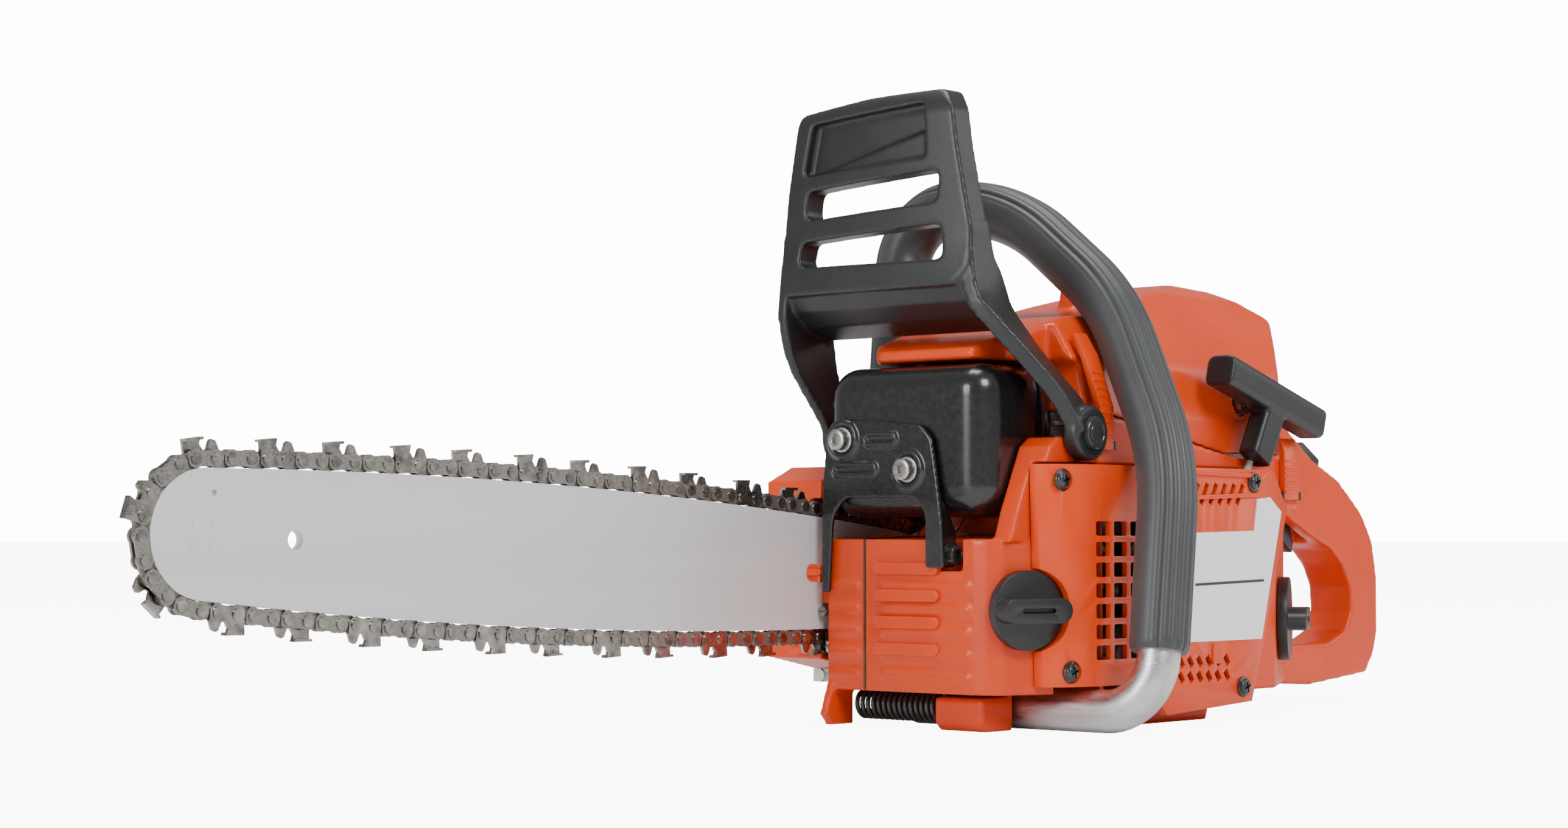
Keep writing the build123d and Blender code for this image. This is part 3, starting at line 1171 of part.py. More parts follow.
def hand_guard():
    with BuildPart() as guard:
        front_plate(GUARD_FRAME, 93, 105)
        for window in GUARD_WINDOWS:
            front_plate(window, 90, 110, Mode.SUBTRACT)
        front_plate([(-70, 252), (4, 257), (2, 281), (-64, 277)], 102, 106, Mode.SUBTRACT)
        side_plate(GUARD_SCOOP, -80, 22)
        tapered_arm([(74, 64.5, 139, 18, 7), (91, 51.5, 162, 16, 8), (98, 27, 190, 13, 10), (99, 25, 206, 11, 8)])
        tapered_arm([(74, -76.5, 140, 18, 5), (92, -82, 162, 14, 6), (99, -81, 206, 11, 6)])
        y_rod(PIVOT_X, PIVOT_Z, 61, 68.5, 12.5)
        y_rod(PIVOT_X, PIVOT_Z, -80, -73, 12.0)
        y_rod(PIVOT_X, PIVOT_Z, 60, 70, 4.0 + RUNNING_GAP, Mode.SUBTRACT)
        y_rod(PIVOT_X, PIVOT_Z, -82, -72, 4.0 + RUNNING_GAP, Mode.SUBTRACT)
    write(guard, "hand_guard")


def hinge_pins():
    """Pins of the trigger, lockout and clips, and the shouldered bolts of the hand guard and bail."""
    with BuildPart() as pins:
        x_rod(61.8, 127, 41.0, 52.8, 1.0)
        x_rod(61.8, 106, -114.5, -98.5, 1.0)
        y_rod(*TRIGGER_PIVOT, -6, 16, 2.0)
        y_rod(*LOCKOUT_PIVOT, -6, 16, 1.5)
        for x0, x1, z in ((41.0, 42.2, 127), (-114.5, -113.3, 106), (-99.7, -98.5, 106)):
            block(x0, x1, 60, 63.4, z - 2, z + 2)
        y_rod(PIVOT_X, PIVOT_Z, 60.0, 68.8, 4.0)
        y_rod(PIVOT_X, PIVOT_Z, 68.8, 71.0, 7.5)
        y_rod(PIVOT_X, PIVOT_Z, -80.3, -62.9, 4.0)
        y_rod(PIVOT_X, PIVOT_Z, -82.4, -80.3, 6.5)
        socket_screw(BAIL_END[0], BAIL_END[1] - TUBE_R - 0.1, BAIL_END[2] + 6, (90, 0, 0), 4.5, 4, BOLT_R, 19)
    write(pins, "hinge_pins_and_bolts")


def decompression_valve():
    with BuildPart() as valve:
        y_rod(*VALVE_PLACE, 42, 55.8, VALVE_R)
    write(valve, "decompression_button")


drive_links()
tie_straps()
cutters()
chain_rivets()
guide_bar()
nose_sprocket()
crankcase_left()
crankcase_right()
crankshaft()
crank_bearings()
connecting_rod()
piston()
cylinder()
spark_plug()
flywheel()
ignition_module()
clutch()
oil_pump()
bar_fixing()
rear_handle_tank()
av_springs()
throttle()
fuel_system()
filler_caps()
front_handle()
top_cover()
cover_clips()
starter_cover()
starter()
clutch_cover()
muffler()
hand_guard()
decompression_valve()
case_screws()
hinge_pins()
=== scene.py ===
"""Chainsaw: finished meshes, materials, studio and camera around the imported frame.

Lengths inside the builders are millimetres in the part's own frame; meshes are made in metres.
"""

from __future__ import annotations

import json
import logging
import math
from dataclasses import dataclass, field
from enum import Enum
from typing import Callable, Iterable, Sequence

import bmesh
import bpy
import numpy as np
from mathutils import Matrix, Vector

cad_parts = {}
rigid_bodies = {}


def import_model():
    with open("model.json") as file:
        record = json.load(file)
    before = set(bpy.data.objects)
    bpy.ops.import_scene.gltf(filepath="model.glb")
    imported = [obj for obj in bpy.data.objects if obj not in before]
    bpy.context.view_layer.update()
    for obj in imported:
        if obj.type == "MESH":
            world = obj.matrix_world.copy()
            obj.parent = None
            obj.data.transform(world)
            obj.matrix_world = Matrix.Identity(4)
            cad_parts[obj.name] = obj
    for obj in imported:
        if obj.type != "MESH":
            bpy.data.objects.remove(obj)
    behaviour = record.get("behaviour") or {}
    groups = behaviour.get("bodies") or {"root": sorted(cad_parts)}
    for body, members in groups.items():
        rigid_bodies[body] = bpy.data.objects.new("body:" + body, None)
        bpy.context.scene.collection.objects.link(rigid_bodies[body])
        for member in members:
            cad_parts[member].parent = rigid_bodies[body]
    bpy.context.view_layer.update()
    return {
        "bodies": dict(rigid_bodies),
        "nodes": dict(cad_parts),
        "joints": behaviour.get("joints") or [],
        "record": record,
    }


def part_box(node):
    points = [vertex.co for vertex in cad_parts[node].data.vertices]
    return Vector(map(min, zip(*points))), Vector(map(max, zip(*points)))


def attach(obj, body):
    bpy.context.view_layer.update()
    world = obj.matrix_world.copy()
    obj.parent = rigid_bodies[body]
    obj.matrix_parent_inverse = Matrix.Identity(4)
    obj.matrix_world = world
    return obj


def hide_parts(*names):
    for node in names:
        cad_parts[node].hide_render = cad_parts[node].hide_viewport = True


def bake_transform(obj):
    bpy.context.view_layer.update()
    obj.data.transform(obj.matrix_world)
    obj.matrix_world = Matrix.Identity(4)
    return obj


LOG = logging.getLogger("chainsaw")
MM = 0.001
WELD = 1e-6
PULL_IN = 0.55
PUSH_BACK = -0.40
Point = Sequence[float]
Points = Sequence[Point]


class Slot(Enum):
    """Material slots of the record."""

    SHELL = "orange_shell"
    CASTING = "orange_casting"
    DARK = "dark_plastic"
    RUBBER = "grip_rubber"
    BLACK = "black_steel"
    BAR = "bar_steel"
    CHAIN = "chain_steel"
    CUTTER = "cutter_chrome"
    ZINC = "zinc_steel"
    ALUMINIUM = "bare_aluminium"
    SPRING = "spring_black"
    LABEL = "label_white"
    FELT = "filter_felt"
    ROPE = "rope_nylon"


# ---------------------------------------------------------------- finishes
@dataclass(frozen=True)
class Finish:
    """A procedural surface: colour variation, roughness variation and fine relief.

    Sizes are millimetres; colours are linear RGB.
    """

    name: str
    colour: tuple[float, float, float]
    second: tuple[float, float, float]
    rough_low: float
    rough_high: float
    metallic: float = 0.0
    mottle_mm: float = 8.0
    grain_mm: float = 0.6
    relief: float = 0.15
    relief_mm: float = 0.05
    coat: float = 0.0
    coat_rough: float = 0.08
    specular: float = 0.5
    stretch: tuple[float, float, float] = (1.0, 1.0, 1.0)
    edge_wear: tuple[float, float, float] | None = None
    sheen: float = 0.0

    def build(self) -> bpy.types.Material:
        """Make the Blender material.

        Returns:
            The material, with colour, roughness and bump driven by noise on object coordinates.
        """
        material = bpy.data.materials.new(self.name)
        material.use_nodes = True
        tree = material.node_tree
        nodes, links = tree.nodes, tree.links
        shader = nodes["Principled BSDF"]
        place = nodes.new("ShaderNodeTexCoord")
        scale = nodes.new("ShaderNodeMapping")
        scale.inputs["Scale"].default_value = self.stretch
        links.new(place.outputs["Object"], scale.inputs["Vector"])
        mottle = self._noise(nodes, links, scale, self.mottle_mm, 4.0)
        grain = self._noise(nodes, links, scale, self.grain_mm, 3.0)
        colour = nodes.new("ShaderNodeMix")
        colour.data_type = "RGBA"
        colour.inputs["A"].default_value = (*self.colour, 1.0)
        colour.inputs["B"].default_value = (*self.second, 1.0)
        blend = nodes.new("ShaderNodeMapRange")
        blend.inputs["From Min"].default_value = 0.35
        blend.inputs["From Max"].default_value = 0.7
        links.new(mottle, blend.inputs["Value"])
        links.new(blend.outputs["Result"], colour.inputs["Factor"])
        base = colour.outputs["Result"]
        if self.edge_wear:
            base = self._worn_edges(nodes, links, base, grain)
        links.new(base, shader.inputs["Base Color"])
        rough = nodes.new("ShaderNodeMapRange")
        rough.inputs["From Min"].default_value = 0.3
        rough.inputs["From Max"].default_value = 0.7
        rough.inputs["To Min"].default_value = self.rough_low
        rough.inputs["To Max"].default_value = self.rough_high
        links.new(grain, rough.inputs["Value"])
        links.new(rough.outputs["Result"], shader.inputs["Roughness"])
        bump = nodes.new("ShaderNodeBump")
        bump.inputs["Strength"].default_value = self.relief
        bump.inputs["Distance"].default_value = self.relief_mm * MM
        links.new(grain, bump.inputs["Height"])
        links.new(bump.outputs["Normal"], shader.inputs["Normal"])
        shader.inputs["Metallic"].default_value = self.metallic
        shader.inputs["Specular IOR Level"].default_value = self.specular
        shader.inputs["Coat Weight"].default_value = self.coat
        shader.inputs["Coat Roughness"].default_value = self.coat_rough
        shader.inputs["Sheen Weight"].default_value = self.sheen
        return material

    @staticmethod
    def _noise(nodes: bpy.types.Nodes, links: bpy.types.NodeLinks, place: bpy.types.Node, size_mm: float,
               detail: float) -> bpy.types.NodeSocket:
        """Add a noise texture whose features are about size_mm across and return its factor."""
        noise = nodes.new("ShaderNodeTexNoise")
        noise.inputs["Scale"].default_value = 1.0 / (size_mm * MM)
        noise.inputs["Detail"].default_value = detail
        links.new(place.outputs["Vector"], noise.inputs["Vector"])
        return noise.outputs["Fac"]

    def _worn_edges(self, nodes: bpy.types.Nodes, links: bpy.types.NodeLinks, base: bpy.types.NodeSocket,
                    grain: bpy.types.NodeSocket) -> bpy.types.NodeSocket:
        """Lighten convex edges, broken up by the grain, and return the new colour."""
        form = nodes.new("ShaderNodeNewGeometry")
        edge = nodes.new("ShaderNodeMapRange")
        edge.inputs["From Min"].default_value = 0.52
        edge.inputs["From Max"].default_value = 0.62
        links.new(form.outputs["Pointiness"], edge.inputs["Value"])
        broken = nodes.new("ShaderNodeMath")
        broken.operation = "MULTIPLY"
        links.new(edge.outputs["Result"], broken.inputs[0])
        links.new(grain, broken.inputs[1])
        worn = nodes.new("ShaderNodeMix")
        worn.data_type = "RGBA"
        worn.inputs["B"].default_value = (*self.edge_wear, 1.0)
        links.new(base, worn.inputs["A"])
        links.new(broken.outputs["Value"], worn.inputs["Factor"])
        return worn.outputs["Result"]


FINISHES: dict[Slot, Finish] = {
    Slot.SHELL: Finish("orange_moulding", (0.72, 0.054, 0.0015), (0.66, 0.046, 0.0012), 0.28, 0.40, mottle_mm=30,
                       grain_mm=1.2, relief=0.08, relief_mm=0.04, coat=0.12, coat_rough=0.10, specular=0.35),
    Slot.CASTING: Finish("orange_paint", (0.66, 0.048, 0.0013), (0.58, 0.039, 0.0011), 0.30, 0.44, mottle_mm=20,
                         grain_mm=1.6, relief=0.14, relief_mm=0.08, coat=0.15, coat_rough=0.14, specular=0.35),
    Slot.DARK: Finish("dark_moulding", (0.014, 0.015, 0.016), (0.010, 0.011, 0.012), 0.32, 0.46, mottle_mm=15,
                      grain_mm=0.5, relief=0.35, relief_mm=0.06, edge_wear=(0.035, 0.037, 0.039)),
    Slot.RUBBER: Finish("grip_rubber", (0.040, 0.043, 0.045), (0.032, 0.035, 0.037), 0.36, 0.48, mottle_mm=25,
                        grain_mm=0.4, relief=0.2, relief_mm=0.04, sheen=0.1),
    Slot.BLACK: Finish("black_enamel", (0.005, 0.005, 0.0055), (0.008, 0.008, 0.0085), 0.22, 0.32, mottle_mm=12,
                       grain_mm=3.0, relief=0.03, relief_mm=0.05, coat=0.35, coat_rough=0.10),
    Slot.BAR: Finish("ground_bar_steel", (0.66, 0.67, 0.68), (0.61, 0.62, 0.63), 0.42, 0.52, metallic=0.30,
                     mottle_mm=20, grain_mm=0.35, relief=0.10, relief_mm=0.02, stretch=(0.04, 1.0, 1.0)),
    Slot.CHAIN: Finish("oiled_chain_steel", (0.085, 0.076, 0.068), (0.035, 0.032, 0.029), 0.30, 0.48, metallic=0.85,
                       mottle_mm=5, grain_mm=0.7, relief=0.25, relief_mm=0.05, edge_wear=(0.45, 0.43, 0.40)),
    Slot.CUTTER: Finish("chromed_cutters", (0.46, 0.43, 0.39), (0.16, 0.15, 0.135), 0.16, 0.32, metallic=1.0,
                        mottle_mm=6, grain_mm=0.8, relief=0.15, relief_mm=0.04),
    Slot.ZINC: Finish("zinc_plate", (0.50, 0.49, 0.47), (0.38, 0.37, 0.36), 0.22, 0.40, metallic=1.0, mottle_mm=4,
                      grain_mm=0.6, relief=0.15, relief_mm=0.03),
    Slot.ALUMINIUM: Finish("bare_aluminium", (0.66, 0.66, 0.66), (0.50, 0.50, 0.50), 0.28, 0.48, metallic=1.0,
                           mottle_mm=10, grain_mm=0.8, relief=0.20, relief_mm=0.05, stretch=(1.0, 0.15, 1.0)),
    Slot.SPRING: Finish("black_spring", (0.018, 0.018, 0.018), (0.028, 0.028, 0.028), 0.25, 0.36, mottle_mm=5,
                        grain_mm=0.8, relief=0.15, relief_mm=0.03, coat=0.4),
    Slot.LABEL: Finish("white_film", (0.92, 0.93, 0.95), (0.88, 0.89, 0.91), 0.22, 0.30, mottle_mm=20, grain_mm=1.0,
                       relief=0.05, relief_mm=0.02, coat=0.3),
    Slot.FELT: Finish("filter_felt", (0.55, 0.54, 0.50), (0.42, 0.41, 0.38), 0.8, 0.95, mottle_mm=3, grain_mm=0.4,
                      relief=0.6, relief_mm=0.2, sheen=0.3),
    Slot.ROPE: Finish("nylon_rope", (0.58, 0.58, 0.55), (0.40, 0.40, 0.38), 0.55, 0.75, mottle_mm=2, grain_mm=0.4,
                      relief=0.5, relief_mm=0.15, sheen=0.3),
}


class Palette:
    """Builds each finish once and hands it out by slot."""

    def __init__(self) -> None:
        """Start with nothing made."""
        self._made: dict[Slot, bpy.types.Material] = {}

    def get(self, slot: Slot) -> bpy.types.Material:
        """Return the material of a slot, making it the first time."""
        if slot not in self._made:
            self._made[slot] = FINISHES[slot].build()
        return self._made[slot]

    def dress_nodes(self, frame: dict) -> None:
        """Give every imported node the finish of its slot.
        """
        for row in frame["record"]["subparts"]:
            mesh = frame["nodes"][row["node"]].data
            mesh.materials.clear()
            mesh.materials.append(self.get(Slot(row["material_slot"])))


# ---------------------------------------------------------------- mesh tools
def make_object(name: str, points: np.ndarray, faces: Sequence[Sequence[int]]) -> bpy.types.Object:
    """Make a mesh object from points in millimetres.

    Args:
        name: Piece name.
        points: Array of points, n by 3, in millimetres.
        faces: Corner indices of each face.

    Returns:
        The object, linked to the scene.
    """
    mesh = bpy.data.meshes.new(name)
    mesh.from_pydata((np.asarray(points, float) * MM).tolist(), [], [list(f) for f in faces])
    mesh.validate()
    return link(name, mesh)


def link(name: str, mesh: bpy.types.Mesh) -> bpy.types.Object:
    """Put a mesh in the scene as an object."""
    made = bpy.data.objects.new(name, mesh)
    bpy.context.scene.collection.objects.link(made)
    return made


def apply_modifiers(piece: bpy.types.Object) -> bpy.types.Object:
    """Bake all modifiers of a piece into its mesh."""
    bpy.context.view_layer.update()
    graph = bpy.context.evaluated_depsgraph_get()
    mesh = bpy.data.meshes.new_from_object(piece.evaluated_get(graph))
    piece.modifiers.clear()
    piece.data = mesh
    return piece


def tidy_normals(piece: bpy.types.Object, angle_deg: float = 40.0) -> bpy.types.Object:
    """Make normals point out, shade smooth, and keep edges above an angle sharp."""
    work = bmesh.new()
    work.from_mesh(piece.data)
    bmesh.ops.recalc_face_normals(work, faces=work.faces)
    work.to_mesh(piece.data)
    work.free()
    piece.data.shade_smooth()
    piece.data.set_sharp_from_angle(angle=math.radians(angle_deg))
    return piece


def relax(mesh: bpy.types.Mesh, rounds: int) -> None:
    """Smooth a mesh by moving each point towards the mean of its neighbours.

    Args:
        mesh: Mesh to change.
        rounds: Number of passes; each second pass pushes back, which keeps the volume.
    """
    count = len(mesh.vertices)
    points = np.empty(count * 3)
    mesh.vertices.foreach_get("co", points)
    points = points.reshape(-1, 3)
    pairs = np.empty(len(mesh.edges) * 2, np.int64)
    mesh.edges.foreach_get("vertices", pairs)
    pairs = pairs.reshape(-1, 2)
    ends = np.concatenate([pairs[:, 0], pairs[:, 1]])
    others = np.concatenate([pairs[:, 1], pairs[:, 0]])
    degree = np.maximum(np.bincount(ends, minlength=count), 1)
    for step in range(rounds):
        mean = np.stack([np.bincount(ends, points[others, k], count) / degree for k in range(3)], axis=1)
        points = points + (mean - points) * (PULL_IN if step % 2 == 0 else PUSH_BACK)
    mesh.vertices.foreach_set("co", points.reshape(-1))
    mesh.update()


def copy_node(node: str, name: str) -> bpy.types.Object:
    """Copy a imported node's mesh into a new, welded object."""
    source = bpy.data.objects[node].data
    work = bmesh.new()
    work.from_mesh(source)
    bmesh.ops.remove_doubles(work, verts=work.verts, dist=WELD)
    mesh = bpy.data.meshes.new(name)
    work.to_mesh(mesh)
    work.free()
    return link(name, mesh)


def moulded(piece: bpy.types.Object, voxel_mm: float, rounds: int) -> bpy.types.Object:
    """Fuse a piece into one skin and round its edges, as a moulding or casting has.

    Args:
        piece: Object with closed meshes.
        voxel_mm: Grid size of the skin.
        rounds: Smoothing passes.

    Returns:
        The same object with its new mesh.
    """
    skin = piece.modifiers.new("skin", "REMESH")
    skin.mode = "VOXEL"
    skin.voxel_size = voxel_mm * MM
    apply_modifiers(piece)
    relax(piece.data, rounds)
    piece.data.shade_smooth()
    return piece


def eased(piece: bpy.types.Object, width_mm: float, segments: int = 2,
          sharp_deg: float = 28.0) -> bpy.types.Object:
    """Round the sharp edges of a flat-sided piece.

    Args:
        piece: Object with a closed mesh.
        width_mm: Width of the rounding.
        segments: Steps across the rounding.
        sharp_deg: Edges that turn more than this are rounded.

    Returns:
        The same object.
    """
    work = bmesh.new()
    work.from_mesh(piece.data)
    bmesh.ops.remove_doubles(work, verts=work.verts, dist=WELD)
    bmesh.ops.dissolve_limit(work, angle_limit=math.radians(0.6), verts=work.verts, edges=work.edges)
    work.to_mesh(piece.data)
    work.free()
    edge = piece.modifiers.new("edge", "BEVEL")
    edge.width = width_mm * MM
    edge.segments = segments
    edge.limit_method = "ANGLE"
    edge.angle_limit = math.radians(sharp_deg)
    edge.use_clamp_overlap = True
    edge.miter_outer = "MITER_ARC"
    apply_modifiers(piece)
    return tidy_normals(piece, 35.0)


# ---------------------------------------------------------------- assembly of pieces
@dataclass
class Workshop:
    """Holds the palette and registers finished pieces."""

    palette: Palette
    pieces: list[str] = field(default_factory=list)

    def fit(self, piece: bpy.types.Object, body: str, slot: Slot, *nodes: str) -> bpy.types.Object:
        """Dress a piece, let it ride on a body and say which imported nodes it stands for.

        Args:
            piece: Finished object.
            body: Body it moves with.
            slot: Record slot of its finish.
            nodes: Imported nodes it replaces.

        Returns:
            The same object.
        """
        piece.data.materials.clear()
        piece.data.materials.append(self.palette.get(slot))
        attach(piece, body)
        if nodes:
            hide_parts(*nodes)
        self.pieces.append(piece.name)
        LOG.info("%s rides on %s", piece.name, body)
        return piece


@dataclass
class Mouldings:
    """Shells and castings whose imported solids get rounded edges."""

    shop: Workshop
    softened: tuple[tuple[str, str, Slot, float, int], ...] = (
        ("top_cover", "powerhead", Slot.SHELL, 1.2, 40),
        ("rear_handle_tank", "powerhead", Slot.SHELL, 1.2, 24),
        ("crankcase_left", "powerhead", Slot.CASTING, 1.0, 14),
        ("crankcase_right", "powerhead", Slot.CASTING, 1.0, 14),
        ("clutch_cover", "powerhead", Slot.SHELL, 1.0, 14),
        ("starter_handle", "pull_handle", Slot.DARK, 0.7, 46),
    )
    crisp: tuple[tuple[str, str, Slot, float], ...] = (
        ("starter_cover", "powerhead", Slot.SHELL, 0.7),
        ("cover_clip_front", "front_clip", Slot.SHELL, 0.5),
        ("cover_clip_rear", "rear_clip", Slot.SHELL, 0.5),
        ("oil_cap", "oil_cap_body", Slot.DARK, 0.9),
        ("fuel_cap", "fuel_cap_body", Slot.DARK, 0.9),
        ("throttle_trigger", "trigger", Slot.DARK, 1.0),
        ("throttle_lockout", "lockout", Slot.DARK, 1.2),
        ("stop_switch", "switch", Slot.DARK, 0.6),
    )

    def build(self) -> None:
        """Make every rounded copy."""
        for node, body, slot, voxel, rounds in self.softened:
            piece = moulded(copy_node(node, node + "_skin"), voxel, rounds)
            self.shop.fit(piece, body, slot, node)
        for node, body, slot, width in self.crisp:
            piece = eased(copy_node(node, node + "_skin"), width)
            self.shop.fit(piece, body, slot, node)


# ---------------------------------------------------------------- shape tools
def rounded(points: Points, radius: float | Sequence[float], steps: int = 6) -> list[tuple[float, float]]:
    """Round the corners of a closed outline.

    Args:
        points: Corners in order.
        radius: One radius, or one for each corner.
        steps: Points on each rounded corner.

    Returns:
        The rounded outline.
    """
    radii = [radius] * len(points) if isinstance(radius, (int, float)) else list(radius)
    made: list[tuple[float, float]] = []
    for k, corner in enumerate(points):
        here = Vector(corner)
        back = Vector(points[k - 1]) - here
        ahead = Vector(points[(k + 1) % len(points)]) - here
        angle = back.angle(ahead)
        cut = min(radii[k] / math.tan(angle / 2), 0.48 * back.length, 0.48 * ahead.length)
        if cut < 0.05:
            made.append((here.x, here.y))
            continue
        start, end = here + back.normalized() * cut, here + ahead.normalized() * cut
        for i in range(steps + 1):
            t = i / steps
            spot = start * (1 - t) ** 2 + here * 2 * t * (1 - t) + end * t ** 2
            made.append((spot.x, spot.y))
    return made


def prism(name: str, outline: Points, low: float, high: float, axis: str = "x") -> bpy.types.Object:
    """Extrude an outline along a frame axis.

    Args:
        name: Piece name.
        outline: Corners in the two other axes, in X, Y, Z order.
        low: Start along the axis.
        high: End along the axis.
        axis: "x", "y" or "z".

    Returns:
        A closed object.
    """
    order = {"x": (2, 0, 1), "y": (0, 2, 1), "z": (0, 1, 2)}[axis]
    count = len(outline)
    raw = [(a, b, level) for level in (low, high) for a, b in outline]
    points = np.array([[p[i] for i in order] for p in raw])
    faces = [list(range(count))[::-1], list(range(count, 2 * count))]
    faces += [(k, (k + 1) % count, count + (k + 1) % count, count + k) for k in range(count)]
    return tidy_normals(make_object(name, points, faces))


def basis(direction: Point, hint: Point = (0.0, 0.0, 1.0)) -> tuple[Vector, Vector, Vector]:
    """Return the unit direction and two unit vectors across it, the first nearest the hint."""
    along = Vector(direction).normalized()
    side = Vector(hint) - along * along.dot(Vector(hint))
    if side.length < 1e-4:
        side = Vector((1.0, 0.0, 0.0)) - along * along.x
    side.normalize()
    return along, side, along.cross(side)


def turned(name: str, profile: Points, origin: Point, direction: Point, steps: int = 40) -> bpy.types.Object:
    """Turn a profile about an axis, as on a lathe.

    Args:
        name: Piece name.
        profile: Pairs of (distance along the axis, radius); both ends are closed.
        origin: Point on the axis.
        direction: Axis direction.
        steps: Points round the axis.

    Returns:
        A closed object.
    """
    along, side, other = basis(direction)
    points, faces = [], []
    for distance, radius in profile:
        for k in range(steps):
            angle = 2 * math.pi * k / steps
            points.append(Vector(origin) + along * distance
                          + (side * math.cos(angle) + other * math.sin(angle)) * radius)
    for ring in range(len(profile) - 1):
        for k in range(steps):
            n = (k + 1) % steps
            faces.append((ring * steps + k, ring * steps + n, (ring + 1) * steps + n, (ring + 1) * steps + k))
    faces.append(list(range(steps))[::-1])
    faces.append([(len(profile) - 1) * steps + k for k in range(steps)])
    return tidy_normals(make_object(name, np.array(points), faces), 50.0)


def swept(name: str, line: Points, section: Callable[[float, float], float], sides: int = 48,
          hint: Point = (0.0, 1.0, 0.0)) -> bpy.types.Object:
    """Sweep a section along a line without twist.

    Args:
        name: Piece name.
        line: Points of the centre line.
        section: Radius for an angle in radians and a share of the length from 0 to 1.
        sides: Points round the section.
        hint: Direction that angle zero starts from.

    Returns:
        A closed tube.
    """
    spots = [Vector(p) for p in line]
    lengths = np.concatenate([[0.0], np.cumsum([(b - a).length for a, b in zip(spots, spots[1:])])])
    points: list[Vector] = []
    side = Vector(hint)
    for k, spot in enumerate(spots):
        tangent = spots[min(k + 1, len(spots) - 1)] - spots[max(k - 1, 0)]
        along, side, other = basis(tangent, side)
        for i in range(sides):
            angle = 2 * math.pi * i / sides
            radius = section(angle, lengths[k] / lengths[-1])
            points.append(spot + (side * math.cos(angle) + other * math.sin(angle)) * radius)
    faces = []
    for ring in range(len(spots) - 1):
        for i in range(sides):
            n = (i + 1) % sides
            faces.append((ring * sides + i, ring * sides + n, (ring + 1) * sides + n, (ring + 1) * sides + i))
    faces.append(list(range(sides))[::-1])
    faces.append([(len(spots) - 1) * sides + i for i in range(sides)])
    return tidy_normals(make_object(name, np.array(points), faces), 55.0)


def filleted(points: Points, radii: Sequence[float], step: float = 3.0) -> list[Vector]:
    """Line through points with its inner corners rounded by arcs, sampled evenly.

    Args:
        points: Corners, the two ends included.
        radii: One radius for each inner corner.
        step: Distance between samples.

    Returns:
        Points of the line.
    """
    corners = [Vector(p) for p in points]
    line = [corners[0]]
    for before, here, after, radius in zip(corners, corners[1:], corners[2:], radii):
        back, ahead = (before - here).normalized(), (after - here).normalized()
        half = back.angle(ahead) / 2
        cut = radius / math.tan(half)
        centre = here + (back + ahead).normalized() * (radius / math.sin(half))
        start, end = here + back * cut - centre, here + ahead * cut - centre
        turn = start.angle(end)
        count = max(4, int(radius * turn / step))
        for i in range(count + 1):
            t = i / count
            spot = (start * math.sin((1 - t) * turn) + end * math.sin(t * turn)) / math.sin(turn)
            line.append(centre + spot)
    line.append(corners[-1])
    even: list[Vector] = [line[0]]
    for a, b in zip(line, line[1:]):
        count = max(1, int((b - a).length / step))
        even += [a.lerp(b, (i + 1) / count) for i in range(count)]
    return even


def banded(name: str, stations: Sequence[tuple[Point, float, float]], wide: Point,
           per_span: int = 5) -> bpy.types.Object:
    """Loft a flat bar through stations with a smooth curve.

    Args:
        name: Piece name.
        stations: (centre, width, thickness) of each station.
        wide: Direction of the width.
        per_span: Sections between two stations.

    Returns:
        A closed bar.
    """
    rows = np.array([[*centre, width, thick] for centre, width, thick in stations], float)
    padded = np.vstack([2 * rows[0] - rows[1], rows, 2 * rows[-1] - rows[-2]])
    smooth = []
    for k in range(1, len(padded) - 2):
        a, b, c, d = padded[k - 1:k + 3]
        for i in range(per_span):
            t = i / per_span
            smooth.append(0.5 * (2 * b + (c - a) * t + (2 * a - 5 * b + 4 * c - d) * t * t
                                 + (3 * b - a - 3 * c + d) * t ** 3))
    smooth.append(rows[-1])
    points, faces = [], []
    for k, row in enumerate(smooth):
        tangent = Vector(smooth[min(k + 1, len(smooth) - 1)][:3]) - Vector(smooth[max(k - 1, 0)][:3])
        _, side, other = basis(tangent, wide)
        for a, b in ((-1, -1), (1, -1), (1, 1), (-1, 1)):
            points.append(Vector(row[:3]) + side * (a * row[3] / 2) + other * (b * row[4] / 2))
    for k in range(len(smooth) - 1):
        for i in range(4):
            n = (i + 1) % 4
            faces.append((4 * k + i, 4 * k + n, 4 * k + 4 + n, 4 * k + 4 + i))
    faces += [(3, 2, 1, 0), tuple(4 * (len(smooth) - 1) + i for i in range(4))]
    return tidy_normals(make_object(name, np.array(points), faces))


def joined(name: str, parts: Sequence[bpy.types.Object]) -> bpy.types.Object:
    """Join objects into one and remove the originals."""
    work = bmesh.new()
    for part in parts:
        copied = part.data.copy()
        copied.transform(part.matrix_world)
        work.from_mesh(copied)
        bpy.data.meshes.remove(copied)
    mesh = bpy.data.meshes.new(name)
    work.to_mesh(mesh)
    work.free()
    for part in parts:
        bpy.data.objects.remove(part)
    return link(name, mesh)


def carved(piece: bpy.types.Object, cutters: Sequence[bpy.types.Object]) -> bpy.types.Object:
    """Cut away tools from a piece and remove them."""
    for tool in cutters:
        cut = piece.modifiers.new("cut", "BOOLEAN")
        cut.operation = "DIFFERENCE"
        cut.solver = "EXACT"
        cut.object = tool
    apply_modifiers(piece)
    for tool in cutters:
        bpy.data.objects.remove(tool)
    return piece


